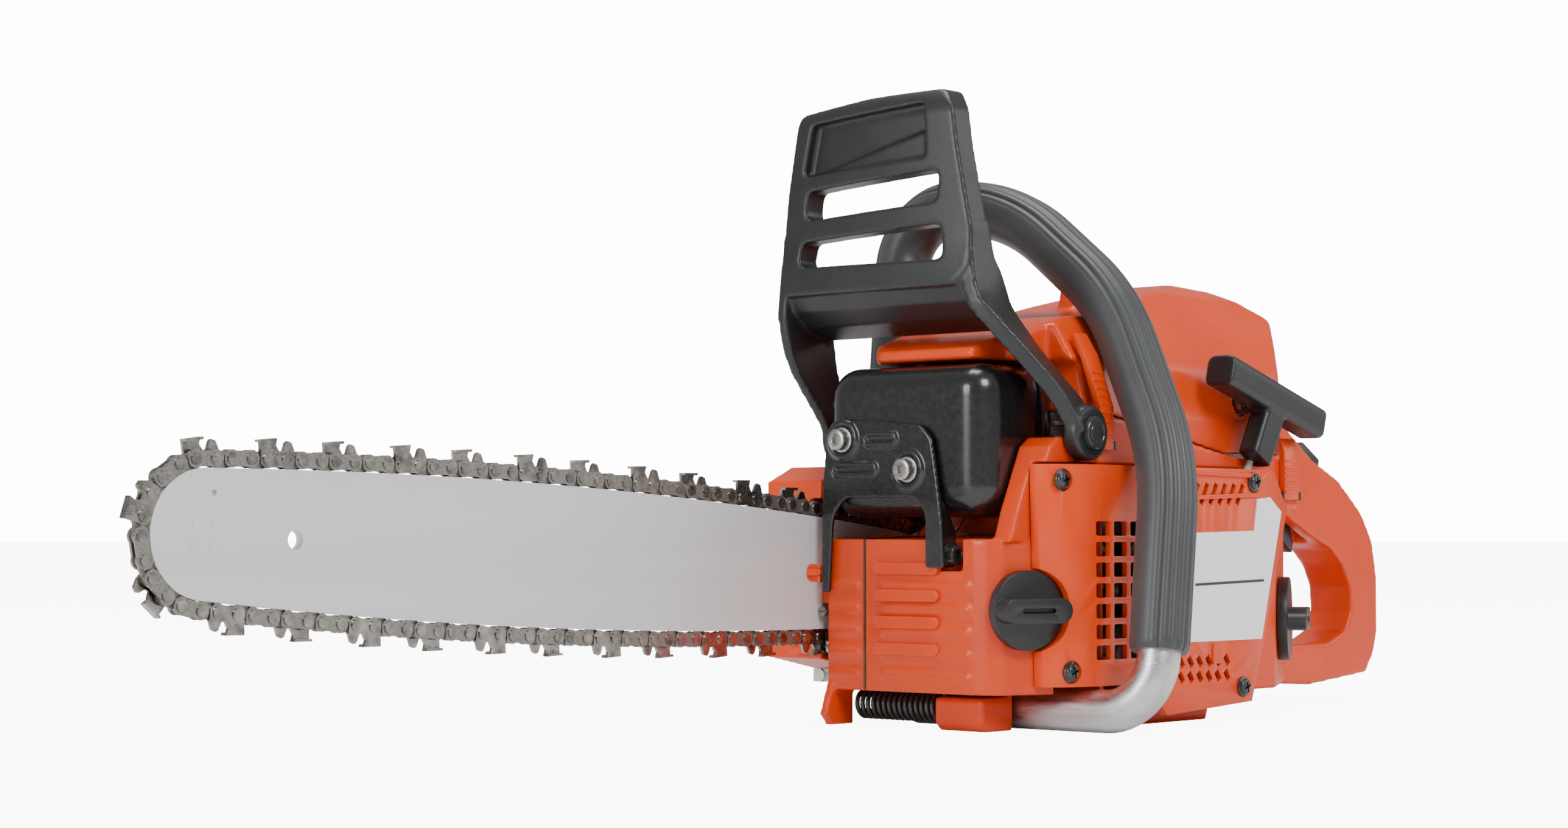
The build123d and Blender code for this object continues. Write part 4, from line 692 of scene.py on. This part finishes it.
def stadium(centre: Point, length: float, height: float, steps: int = 8) -> list[tuple[float, float]]:
    """Outline of a round-ended bar lying along the first axis."""
    run, radius = (length - height) / 2, height / 2
    made = []
    for side, start in ((1, -90), (-1, 90)):
        for i in range(steps + 1):
            angle = math.radians(start + 180 * i / steps)
            made.append((centre[0] + side * run + radius * math.cos(angle), centre[1] + radius * math.sin(angle)))
    return made


# ---------------------------------------------------------------- hand guard
@dataclass
class HandGuard:
    """Front hand guard: windowed frame, scoop below it and two broad arms to the pivots."""

    shop: Workshop
    front_x: float = 105.0
    back_x: float = 92.0
    frame: Points = ((-81, 198), (20, 198), (27, 206), (28.6, 222), (21, 262), (19, 278), (12, 287.5), (-30, 287),
                     (-72, 282.5), (-79.5, 246), (-83.5, 215))
    corner_radii: tuple[float, ...] = (3, 3, 5, 20, 40, 12, 8, 60, 5, 30, 20)
    windows: tuple[Points, ...] = (((-68, 232.5), (10, 236), (11.5, 250.5), (-66, 246)),
                                   ((-72, 211), (14, 210), (12, 226), (-70, 222.5)))
    panel: Points = ((-69, 253), (4.5, 256.5), (3, 281.5), (-63, 277))
    wedge: Points = ((-67, 252), (6, 255), (5, 269))
    scoop: Points = ((92, 208), (104, 206.5), (104, 200), (99, 191), (90, 184), (74, 178.6), (72, 182), (87, 187.5),
                     (92, 194))
    right_arm: tuple = (((98, 25.2, 226), 13, 6), ((95, 25.8, 208), 19, 7), ((89, 29, 191), 28, 7.5),
                        ((84, 38, 176), 28, 7.5), ((80, 49, 162), 21, 7.5), ((74, 58.5, 148), 18, 7.5),
                        ((67, 64.5, 134), 21, 7))
    left_arm: tuple = (((98, -80.4, 226), 13, 5), ((95, -81.2, 208), 20, 5), ((89, -81.3, 190), 32, 5),
                       ((84, -80.8, 172), 32, 5), ((77, -79.4, 155), 24, 5), ((71, -77.6, 142), 20, 5),
                       ((66, -76.6, 132), 22, 5))
    pivot: tuple[float, float] = (66.0, 132.0)
    bow: float = 3.2
    tip_curl: float = 0.03

    def build(self) -> None:
        """Make the guard as one skin."""
        plate = prism("guard_plate", rounded(self.frame, self.corner_radii), self.back_x, self.front_x)
        tools = [prism("tool", rounded(w, 4.5), self.back_x - 5, self.front_x + 5) for w in self.windows]
        tools.append(prism("tool", rounded(self.panel, 3.0), self.front_x - 5.5, self.front_x + 5))
        carved(plate, tools)
        facet = prism("facet", self.wedge, self.front_x - 6.5, self.front_x - 2.6)
        scoop = prism("scoop", self.scoop, -79, 26, "y")
        arms = [banded("arm", arm, (0.9, 0.0, 0.35)) for arm in (self.right_arm, self.left_arm)]
        hubs = [turned("hub", ((61, 12.3), (67.6, 12.3), (68.5, 11.4)), (self.pivot[0], 0, self.pivot[1]),
                       (0, 1, 0)),
                turned("hub", ((-80, 11.8), (-73.2, 11.8)), (self.pivot[0], 0, self.pivot[1]), (0, 1, 0))]
        guard = moulded(joined("hand_guard_moulding", [plate, facet, scoop, *arms, *hubs]), 0.9, 14)
        self._bow(guard)
        bores = [turned("bore", ((-90, 4.1), (80, 4.1)), (self.pivot[0], 0, self.pivot[1]), (0, 1, 0))]
        carved(guard, bores)
        guard.data.shade_smooth()
        self.shop.fit(guard, "guard", Slot.DARK, "hand_guard")

    def _bow(self, guard: bpy.types.Object) -> None:
        """Curve the frame backwards towards its sides and top."""
        for vertex in guard.data.vertices:
            x, y, z = (c / MM for c in vertex.co)
            share = min(max((z - 190) / 30, 0.0), 1.0)
            back = self.bow * share * ((y + 28) / 54) ** 2 + self.tip_curl * max(z - 274, 0.0) ** 2
            vertex.co.x = (x - back) * MM


# ---------------------------------------------------------------- front handle
@dataclass
class FrontHandle:
    """Bent aluminium tube with a ribbed rubber grip."""

    shop: Workshop
    tube_r: float = 9.5
    grip_r: float = 13.3
    groove: float = 1.0
    ridges: int = 9
    lean: float = 0.2174
    offset: float = 68.0
    corners: tuple[tuple[float, float], ...] = ((101, 9.6), (93, 120), (52, 193), (-12, 241.5), (-80, 247))
    radii: tuple[float, ...] = (24, 120, 110, 100, 26)
    end: tuple[float, float] = (-67.7, 131)
    start_y: float = -30.0
    grip_low: float = 36.0
    grip_high: float = 150.0

    def build(self) -> None:
        """Make tube and grip."""
        corners = [self._spot(*c) for c in self.corners]
        foot = (self.offset - self.lean * self.corners[0][1], self.start_y, self.corners[0][1])
        line = filleted([foot, *corners, self._spot(*self.end)], self.radii)
        tube = swept("front_handle_bend", line, lambda angle, share: self.tube_r, 40)
        self.shop.fit(tube, "powerhead", Slot.ALUMINIUM, "front_handle_tube")
        low = self._between(self.corners[0], self.corners[1], self.grip_low)
        high = self._between(self.end, self.corners[-1], self.grip_high)
        line = filleted([low, *corners[1:], high], self.radii[1:], 2.0)
        grip = swept("front_handle_rubber", line, self._section, 120)
        self.shop.fit(grip, "powerhead", Slot.RUBBER, "front_handle_grip")

    def _section(self, angle: float, share: float) -> float:
        """Radius of the grip: plain inside, ridged outside, eased at both ends."""
        inside = math.cos(angle - 0.5)
        ridge = abs(math.sin(angle * self.ridges)) ** 0.7 * self.groove if inside > -0.25 else self.groove
        near_end = min(share, 1.0 - share) / 0.006
        return self.grip_r - self.groove + ridge - 1.2 * max(0.0, 1.0 - near_end)

    def _spot(self, y: float, z: float) -> tuple[float, float, float]:
        """Point of the leaning plane that the handle lies in."""
        return (self.offset - self.lean * z, y, z)

    def _between(self, low: Point, high: Point, z: float) -> tuple[float, float, float]:
        """Point at a height on the straight between two corners."""
        share = (z - low[1]) / (high[1] - low[1])
        return self._spot(low[0] + share * (high[0] - low[0]), z)


# ---------------------------------------------------------------- muffler and bracket
@dataclass
class Muffler:
    """Pressed muffler with its stamped bracket."""

    shop: Workshop
    front_x: float = 113.6
    sheet: float = 2.2
    outline: Points = ((-42, 139), (-19, 138.3), (9, 135.5), (15, 130), (16.6, 121.7), (18, 113.6), (19.6, 102.8),
                       (21, 92), (22, 72.4), (11.6, 72.4), (11.6, 97), (5, 103.6), (-34.9, 103.9), (-42.4, 96),
                       (-44.6, 61), (-48.6, 61), (-48.8, 91), (-48, 109), (-45.8, 132))
    radii: tuple[float, ...] = (5, 30, 8, 8, 20, 20, 20, 20, 2, 2, 9, 10, 9, 20, 1, 1, 20, 20, 5)
    bolts: tuple[tuple[float, float], ...] = ((-36, 130), (2, 116))
    ribs: tuple[tuple[tuple[float, float], float], ...] = (((-14, 130), 20), ((-29, 116.5), 27))

    def build(self) -> None:
        """Make can and bracket."""
        self._can()
        self._bracket()

    def _can(self) -> None:
        """Soft can with a rolled seam and pressed swellings."""
        edge = rounded([(-52.2, 108.8), (43.2, 108.8), (43.2, 164.2), (-52.2, 164.2)], 13.5)
        seam = prism("seam", edge, 68, 70.4)
        swell = [prism("swell", stadium((-12, 153), 52, 7), 92, 95.9),
                 prism("swell", stadium((-12, 118), 70, 9), 92, 95.9)]
        can = moulded(joined("muffler_can", [copy_node("muffler", "can"), seam, *swell]), 0.9, 22)
        self.shop.fit(can, "powerhead", Slot.BLACK, "muffler")

    def _bracket(self) -> None:
        """Stamped bracket with dished bolt seats, pressed ribs and a side flange."""
        front, back = self.front_x, self.front_x - self.sheet
        parts = [prism("sheet", rounded(self.outline, self.radii), back, front)]
        for y, z in self.bolts:
            parts.append(turned("seat", ((-1.5, 9.6), (0.2, 9.4), (1.1, 8.4), (1.1, 7.2), (0.1, 6.0), (-1.0, 5.6)),
                                (front, y, z), (1, 0, 0)))
        for centre, length in self.ribs:
            ring = prism("rib", stadium(centre, length, 6.4), back, front + 1.1)
            carved(ring, [prism("rib", stadium(centre, length - 3.4, 3.0), back - 1, front + 3)])
            parts.append(ring)
        parts.append(banded("flange", (((112.6, 17.4, 106), 2, 2.2), ((110, 17.8, 98), 6, 2.2), ((107, 18, 88), 12, 2.2),
                                       ((106, 18, 74), 14, 2.2)), (1, 0, 0)))
        bracket = joined("muffler_bracket_pressing", parts)
        moulded(bracket, 0.55, 10)
        self.shop.fit(bracket, "powerhead", Slot.BLACK, "muffler_bracket")


# ---------------------------------------------------------------- fasteners
@dataclass
class Fasteners:
    """Every visible screw: bright socket heads and black cross heads."""

    shop: Workshop
    sockets: tuple = (((113.6, -36, 130), (1, 0, 0), 4.8), ((113.6, 2, 116), (1, 0, 0), 4.8),
                      ((44, -48, 84.2), (0, -1, 0), 3.6), ((104, -48, 36), (0, -1, 0), 3.6),
                      ((-54, -48, 70), (0, -1, 0), 3.6), ((-54, -48, 34), (0, -1, 0), 3.6),
                      ((40, -48, 34), (0, -1, 0), 3.6))
    dark: tuple = (((105, 18.9, 78), (0, 1, 0), 4.6),)
    crosses: tuple = (((84, 64.6, 111), (0, 1, 0)), ((-58, 72, 112), (0, 1, 0)), ((-48, 72, 16), (0, 1, 0)),
                      ((80, 66, 27), (0, 1, 0)))
    foot: tuple = ((-27, -29), (-27, 21), (27, -29), (27, 21))

    def build(self) -> None:
        """Make the three groups."""
        bright = [self._socket(*item) for item in self.sockets]
        bright += [self._socket((x, y, 101), (0, 0, 1), 3.4) for x, y in self.foot]
        piece = joined("socket_screws", bright)
        self.shop.fit(tidy_normals(piece), "powerhead", Slot.ZINC, "case_screws")
        black = [self._cross(*item) for item in self.crosses] + [self._socket(*item) for item in self.dark]
        piece = joined("black_screws", black)
        self.shop.fit(tidy_normals(piece), "powerhead", Slot.SPRING)

    @staticmethod
    def _socket(origin: Point, direction: Point, radius: float) -> bpy.types.Object:
        """Washer and socket head with a six-sided hole."""
        tall = radius
        head = turned("head", ((-1.0, radius + 0.9), (0.7, radius + 0.9), (1.0, radius + 0.5), (1.0, radius),
                               (tall, radius), (tall + 0.4, radius - 0.5), (tall + 0.4, radius * 0.62),
                               (tall - 0.2, radius * 0.56)), origin, direction)
        bore = turned("bore", ((tall - 2.0, radius * 0.55), (tall + 3, radius * 0.55)), origin, direction, 6)
        return carved(head, [bore])

    @staticmethod
    def _cross(origin: Point, direction: Point) -> bpy.types.Object:
        """Flanged pan head with a cross recess."""
        head = turned("head", ((-0.5, 4.6), (0.5, 4.8), (0.9, 4.6), (1.1, 3.9), (2.1, 3.7), (2.7, 3.0), (2.9, 1.5)),
                      origin, direction)
        along, side, other = basis(direction, (0.3, 0.0, 1.0))
        tools = []
        for one, two in ((side, other), (other, side)):
            centre = Vector(origin) + along * 2.4
            ends = [centre + one * s for s in (-2.6, 2.6)]
            tools.append(banded("slot", ((ends[0], 1.0, 2.4), (ends[1], 1.0, 2.4)), two, 1))
        return carved(head, tools)


# ---------------------------------------------------------------- springs
@dataclass
class Springs:
    """Coil springs between engine and handle unit."""

    shop: Workshop
    wire: float = 1.15

    def build(self) -> None:
        """Make three springs."""
        coils = [self._coil((91, -43.6, 9.8), (0, 1, 0), 49.2, 5.8, 15),
                 self._coil((-81.8, -34, 58), (1, 0, 0), 19.6, 6.9, 6),
                 self._coil((-81.8, 24, 58), (1, 0, 0), 19.6, 6.9, 6)]
        self.shop.fit(joined("coil_springs", coils), "powerhead", Slot.SPRING, "av_springs")

    def _coil(self, origin: Point, direction: Point, length: float, radius: float, turns: int) -> bpy.types.Object:
        """Wire wound on an axis, its ends closed up."""
        along, side, other = basis(direction)
        line = []
        count = turns * 20
        for i in range(count + 1):
            t = i / count
            rise = self.wire + (length - 2 * self.wire) * t
            angle = 2 * math.pi * turns * t
            line.append(Vector(origin) + along * rise + (side * math.cos(angle) + other * math.sin(angle)) * radius)
        return swept("coil", line, lambda angle, share: self.wire, 10, side)


# ---------------------------------------------------------------- trim on the shells
@dataclass
class Trim:
    """Ribs on the cover clips, seam strips, pivot bolts and bar marks."""

    shop: Workshop
    bar_pitch: float = math.radians(2.9)
    bar_root_z: float = 64.0
    rib_inset: float = 0.2

    def build(self) -> None:
        """Make every trim piece."""
        self._clip_ribs()
        self._pivot_bolts()
        self._bar_marks()
        self._case_seam()
        self._case_ribs()
        self._louvre_frame()
        self._label_rule()

    def _clip_ribs(self) -> None:
        """Cross ribs on the faces of both clips."""
        ribs = []
        for k in range(9):
            z = 131 + 3.6 * k
            y = 63.1 if z < 143.5 else 63.1 - (z - 143.5) * 0.35
            ribs.append(banded("rib", (((42.9, y, z), 1.5, 1.3), ((52.1, y, z), 1.5, 1.3)), (0, 0, 1), 1))
        front = moulded(joined("front_clip_ribs", ribs), 0.3, 4)
        self.shop.fit(front, "front_clip", Slot.SHELL)
        ribs = [banded("rib", (((-112.4, 63.1, 108 + 3 * k), 1.3, 1.2), ((-100.6, 63.1, 108 + 3 * k), 1.3, 1.2)),
                       (0, 0, 1), 1) for k in range(6)]
        rear = moulded(joined("rear_clip_ribs", ribs), 0.3, 4)
        self.shop.fit(rear, "rear_clip", Slot.SHELL)

    def _pivot_bolts(self) -> None:
        """Dark shouldered bolts of the guard with a six-sided hole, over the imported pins."""
        parts = []
        for y, direction, radius in ((69.3, 1, 7.5), (-80.8, -1, 6.5)):
            head = turned("head", ((0, radius), (1.4, radius), (2.0, radius - 0.7), (2.0, radius * 0.7),
                                   (1.4, radius * 0.62), (1.9, radius * 0.55)), (66, y, 132), (0, direction, 0))
            bore = turned("bore", ((0.6, 2.6), (4, 2.6)), (66, y, 132), (0, direction, 0), 6)
            parts.append(carved(head, [bore]))
        self.shop.fit(tidy_normals(joined("guard_bolt_heads", parts)), "powerhead", Slot.SPRING)

    def _bar_spot(self, u: float, v: float) -> tuple[float, float]:
        """Point given along and across the bar, in X and Z."""
        c, s = math.cos(self.bar_pitch), math.sin(self.bar_pitch)
        return u * c - v * s, self.bar_root_z + u * s + v * c

    def _bar_marks(self) -> None:
        """Weld dimples of the bar's plates, on both faces."""
        marks = []
        for k in range(8):
            for v in (-22, 22):
                x, z = self._bar_spot(125 + 37 * k + (6 if v > 0 else 0), v)
                for y, way in ((-53.4, 1), (-57.6, -1)):
                    dimple = ((-0.2, 1.6), (0.1, 1.6), (0.14, 1.45), (0.08, 1.2), (0.02, 0.6))
                    marks.append(turned("mark", dimple, (x, y, z), (0, way, 0), 20))
        self.shop.fit(tidy_normals(joined("bar_weld_marks", marks)), "powerhead", Slot.BAR)

    def _case_seam(self) -> None:
        """Gasket edge between the crankcase halves."""
        seam = prism("case_seam", rounded([(110.4, 17.4), (110.4, 85.3), (46, 87.3), (46, 80), (100, 78), (100, 24),
                                           (100, 17.4)], 1.0), -26.45, -25.55, "y")
        self.shop.fit(seam, "powerhead", Slot.SPRING)

    def _case_ribs(self) -> None:
        """Raised bars across the front of the crankcase and of the clutch cover."""
        bars = [prism("bar", stadium((-1.5, z), 38, 5.6), 109, 112.2) for z in (36, 48, 60, 72)]
        ribs = moulded(joined("case_front_ribs", bars), 0.5, 16)
        self.shop.fit(ribs, "powerhead", Slot.CASTING)
        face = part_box("clutch_cover")[1][0] / MM - self.rib_inset
        bars = [prism("bar", stadium((-66, z), 20, 3.4), face - 2, face + 1.0)
                for z in (34, 43, 52, 61, 70, 79)]
        self.shop.fit(moulded(joined("clutch_front_ribs", bars), 0.4, 14), "powerhead", Slot.SHELL)

    def _louvre_frame(self) -> None:
        """Raised frame round the upper louvres of the starter cover, and the mid rib under the label."""
        outer = rounded([(-4, 103), (-4, 117), (-63, 116), (-63, 105)], 3.5)
        inner = rounded([(-6.5, 105.2), (-6.5, 114.8), (-60.5, 113.8), (-60.5, 107)], 2.0)
        frame = prism("frame", outer, 70.5, 73.3, "y")
        carved(frame, [prism("tool", inner, 69, 75, "y")])
        rib = prism("rib", rounded([(-22, 27.5), (-22, 36.5), (-29, 36.5), (-29, 27.5)], 1.5), 70.5, 73.0, "y")
        skin = moulded(joined("starter_cover_frame", [frame, rib]), 0.4, 8)
        self.shop.fit(skin, "powerhead", Slot.SHELL)

    def _label_rule(self) -> None:
        """Grey rule across the label."""
        rule = prism("label_rule", [(-8, 63.6), (-8, 64.8), (-66, 66.2), (-66, 65.0)], 72.4, 72.75, "y")
        self.shop.fit(rule, "powerhead", Slot.DARK)


# ---------------------------------------------------------------- starter rope
@dataclass
class StarterRope:
    """Laid rope between the cover's outlet and the pull handle."""

    shop: Workshop
    outlet: tuple[float, float, float] = (-66.0, 63.5, 117.0)
    pull: tuple[float, float, float] = (-0.49, 0.0, 0.872)
    radius: float = 1.6
    inside: float = 9.0
    reach: float = 12.0
    spans: int = 60

    def build(self) -> None:
        """Make the rope across the joint, in short spans."""
        way = Vector(self.pull).normalized()
        foot = Vector(self.outlet)
        line = [foot + way * (self.reach * k / self.spans - self.inside * (1 - k / self.spans))
                for k in range(self.spans + 1)]
        rope = swept("starter_rope_run", line, lambda angle, share: self.radius, 16)
        rope.data.materials.append(self.shop.palette.get(Slot.ROPE))
        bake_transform(rope)
        self.shop.pieces.append(rope.name)
        LOG.info("%s runs from powerhead to pull_handle", rope.name)


# ---------------------------------------------------------------- studio
@dataclass
class Studio:
    """Floor, soft lights and the camera."""

    camera_mm: tuple[float, float, float] = (1102.9, 812.4, 85.6)
    right: tuple[float, float, float] = (-0.6663, 0.7457, 0.0)
    up: tuple[float, float, float] = (0.0321, 0.0287, 0.9991)
    forward: tuple[float, float, float] = (-0.7450, -0.6657, 0.0431)
    lens_mm: float = 66.07
    sensor_mm: float = 36.0

    def build(self) -> None:
        """Make camera, floor, lights and sky."""
        self._camera()
        self._floor()
        self._lights()
        self._sky()

    def _camera(self) -> None:
        """Place the camera."""
        data = bpy.data.cameras.new("camera")
        data.lens = self.lens_mm
        data.sensor_width = self.sensor_mm
        data.clip_start = 0.01
        data.clip_end = 200.0
        camera = bpy.data.objects.new("camera", data)
        bpy.context.scene.collection.objects.link(camera)
        turn = Matrix((self.right, self.up, [-c for c in self.forward])).transposed()
        camera.matrix_world = Matrix.Translation(Vector(self.camera_mm) * MM) @ turn.to_4x4()
        bpy.context.scene.camera = camera

    def _floor(self) -> None:
        """Pale floor."""
        half = 60.0 / MM
        points = np.array([(-half, -half, 0), (half, -half, 0), (half, half, 0), (-half, half, 0)])
        floor = make_object("floor", points, [(0, 1, 2, 3)])
        paint = bpy.data.materials.new("pale_floor")
        paint.use_nodes = True
        shader = paint.node_tree.nodes["Principled BSDF"]
        shader.inputs["Base Color"].default_value = (0.92, 0.92, 0.92, 1.0)
        shader.inputs["Roughness"].default_value = 0.75
        shader.inputs["Specular IOR Level"].default_value = 0.1
        shader.inputs["Emission Color"].default_value = (1.0, 1.0, 1.0, 1.0)
        glow = self.seen_strength(paint.node_tree.nodes, paint.node_tree.links, 0.0, 9.0)
        paint.node_tree.links.new(glow, shader.inputs["Emission Strength"])
        floor.data.materials.append(paint)

    def _lights(self) -> None:
        """Large soft lights."""
        self._area("key", (1.0, 2.2, 1.9), 1.1, 62.0)
        self._area("fill", (2.6, -0.5, 0.8), 1.0, 34.0)
        self._area("top", (0.1, -0.3, 2.4), 1.2, 40.0)
        self._area("rim", (-1.8, 1.6, 1.0), 1.2, 12.0)

    @staticmethod
    def _area(name: str, place: Point, size: float, power: float) -> None:
        """Add a square area light aimed at the middle of the machine."""
        data = bpy.data.lights.new(name, "AREA")
        data.size = size
        data.energy = power
        light = bpy.data.objects.new(name, data)
        light.location = place
        aim = Vector((0.05, 0.0, 0.12)) - Vector(place)
        light.rotation_euler = aim.to_track_quat("-Z", "Y").to_euler()
        bpy.context.scene.collection.objects.link(light)

    @staticmethod
    def _sky() -> None:
        """White surroundings: bright to look at, dim as a light."""
        world = bpy.data.worlds.new("white")
        world.use_nodes = True
        nodes, links = world.node_tree.nodes, world.node_tree.links
        back = nodes["Background"]
        back.inputs["Color"].default_value = (1.0, 1.0, 1.0, 1.0)
        links.new(Studio.seen_strength(nodes, links, 0.42, 14.0), back.inputs["Strength"])
        bpy.context.scene.world = world

    @staticmethod
    def seen_strength(nodes: bpy.types.Nodes, links: bpy.types.NodeLinks, dim: float,
                      bright: float) -> bpy.types.NodeSocket:
        """Return a strength that is dim as a light source and bright where it is seen directly."""
        path = nodes.new("ShaderNodeLightPath")
        choose = nodes.new("ShaderNodeMapRange")
        choose.inputs["To Min"].default_value = dim
        choose.inputs["To Max"].default_value = bright
        links.new(path.outputs["Is Camera Ray"], choose.inputs["Value"])
        return choose.outputs["Result"]


def main() -> None:
    """Build the whole scene."""
    logging.basicConfig(level=logging.INFO, format="%(message)s")
    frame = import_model()
    palette = Palette()
    palette.dress_nodes(frame)
    pins = frame["nodes"]["hinge_pins_and_bolts"].data.materials
    pins[0] = palette.get(Slot.SPRING)
    shop = Workshop(palette)
    Mouldings(shop).build()
    for assembly in (HandGuard, FrontHandle, Muffler, Fasteners, Springs, Trim, StarterRope):
        assembly(shop).build()
    Studio().build()
    LOG.info("%d pieces made", len(shop.pieces))


if __name__ == "__main__":
    main()
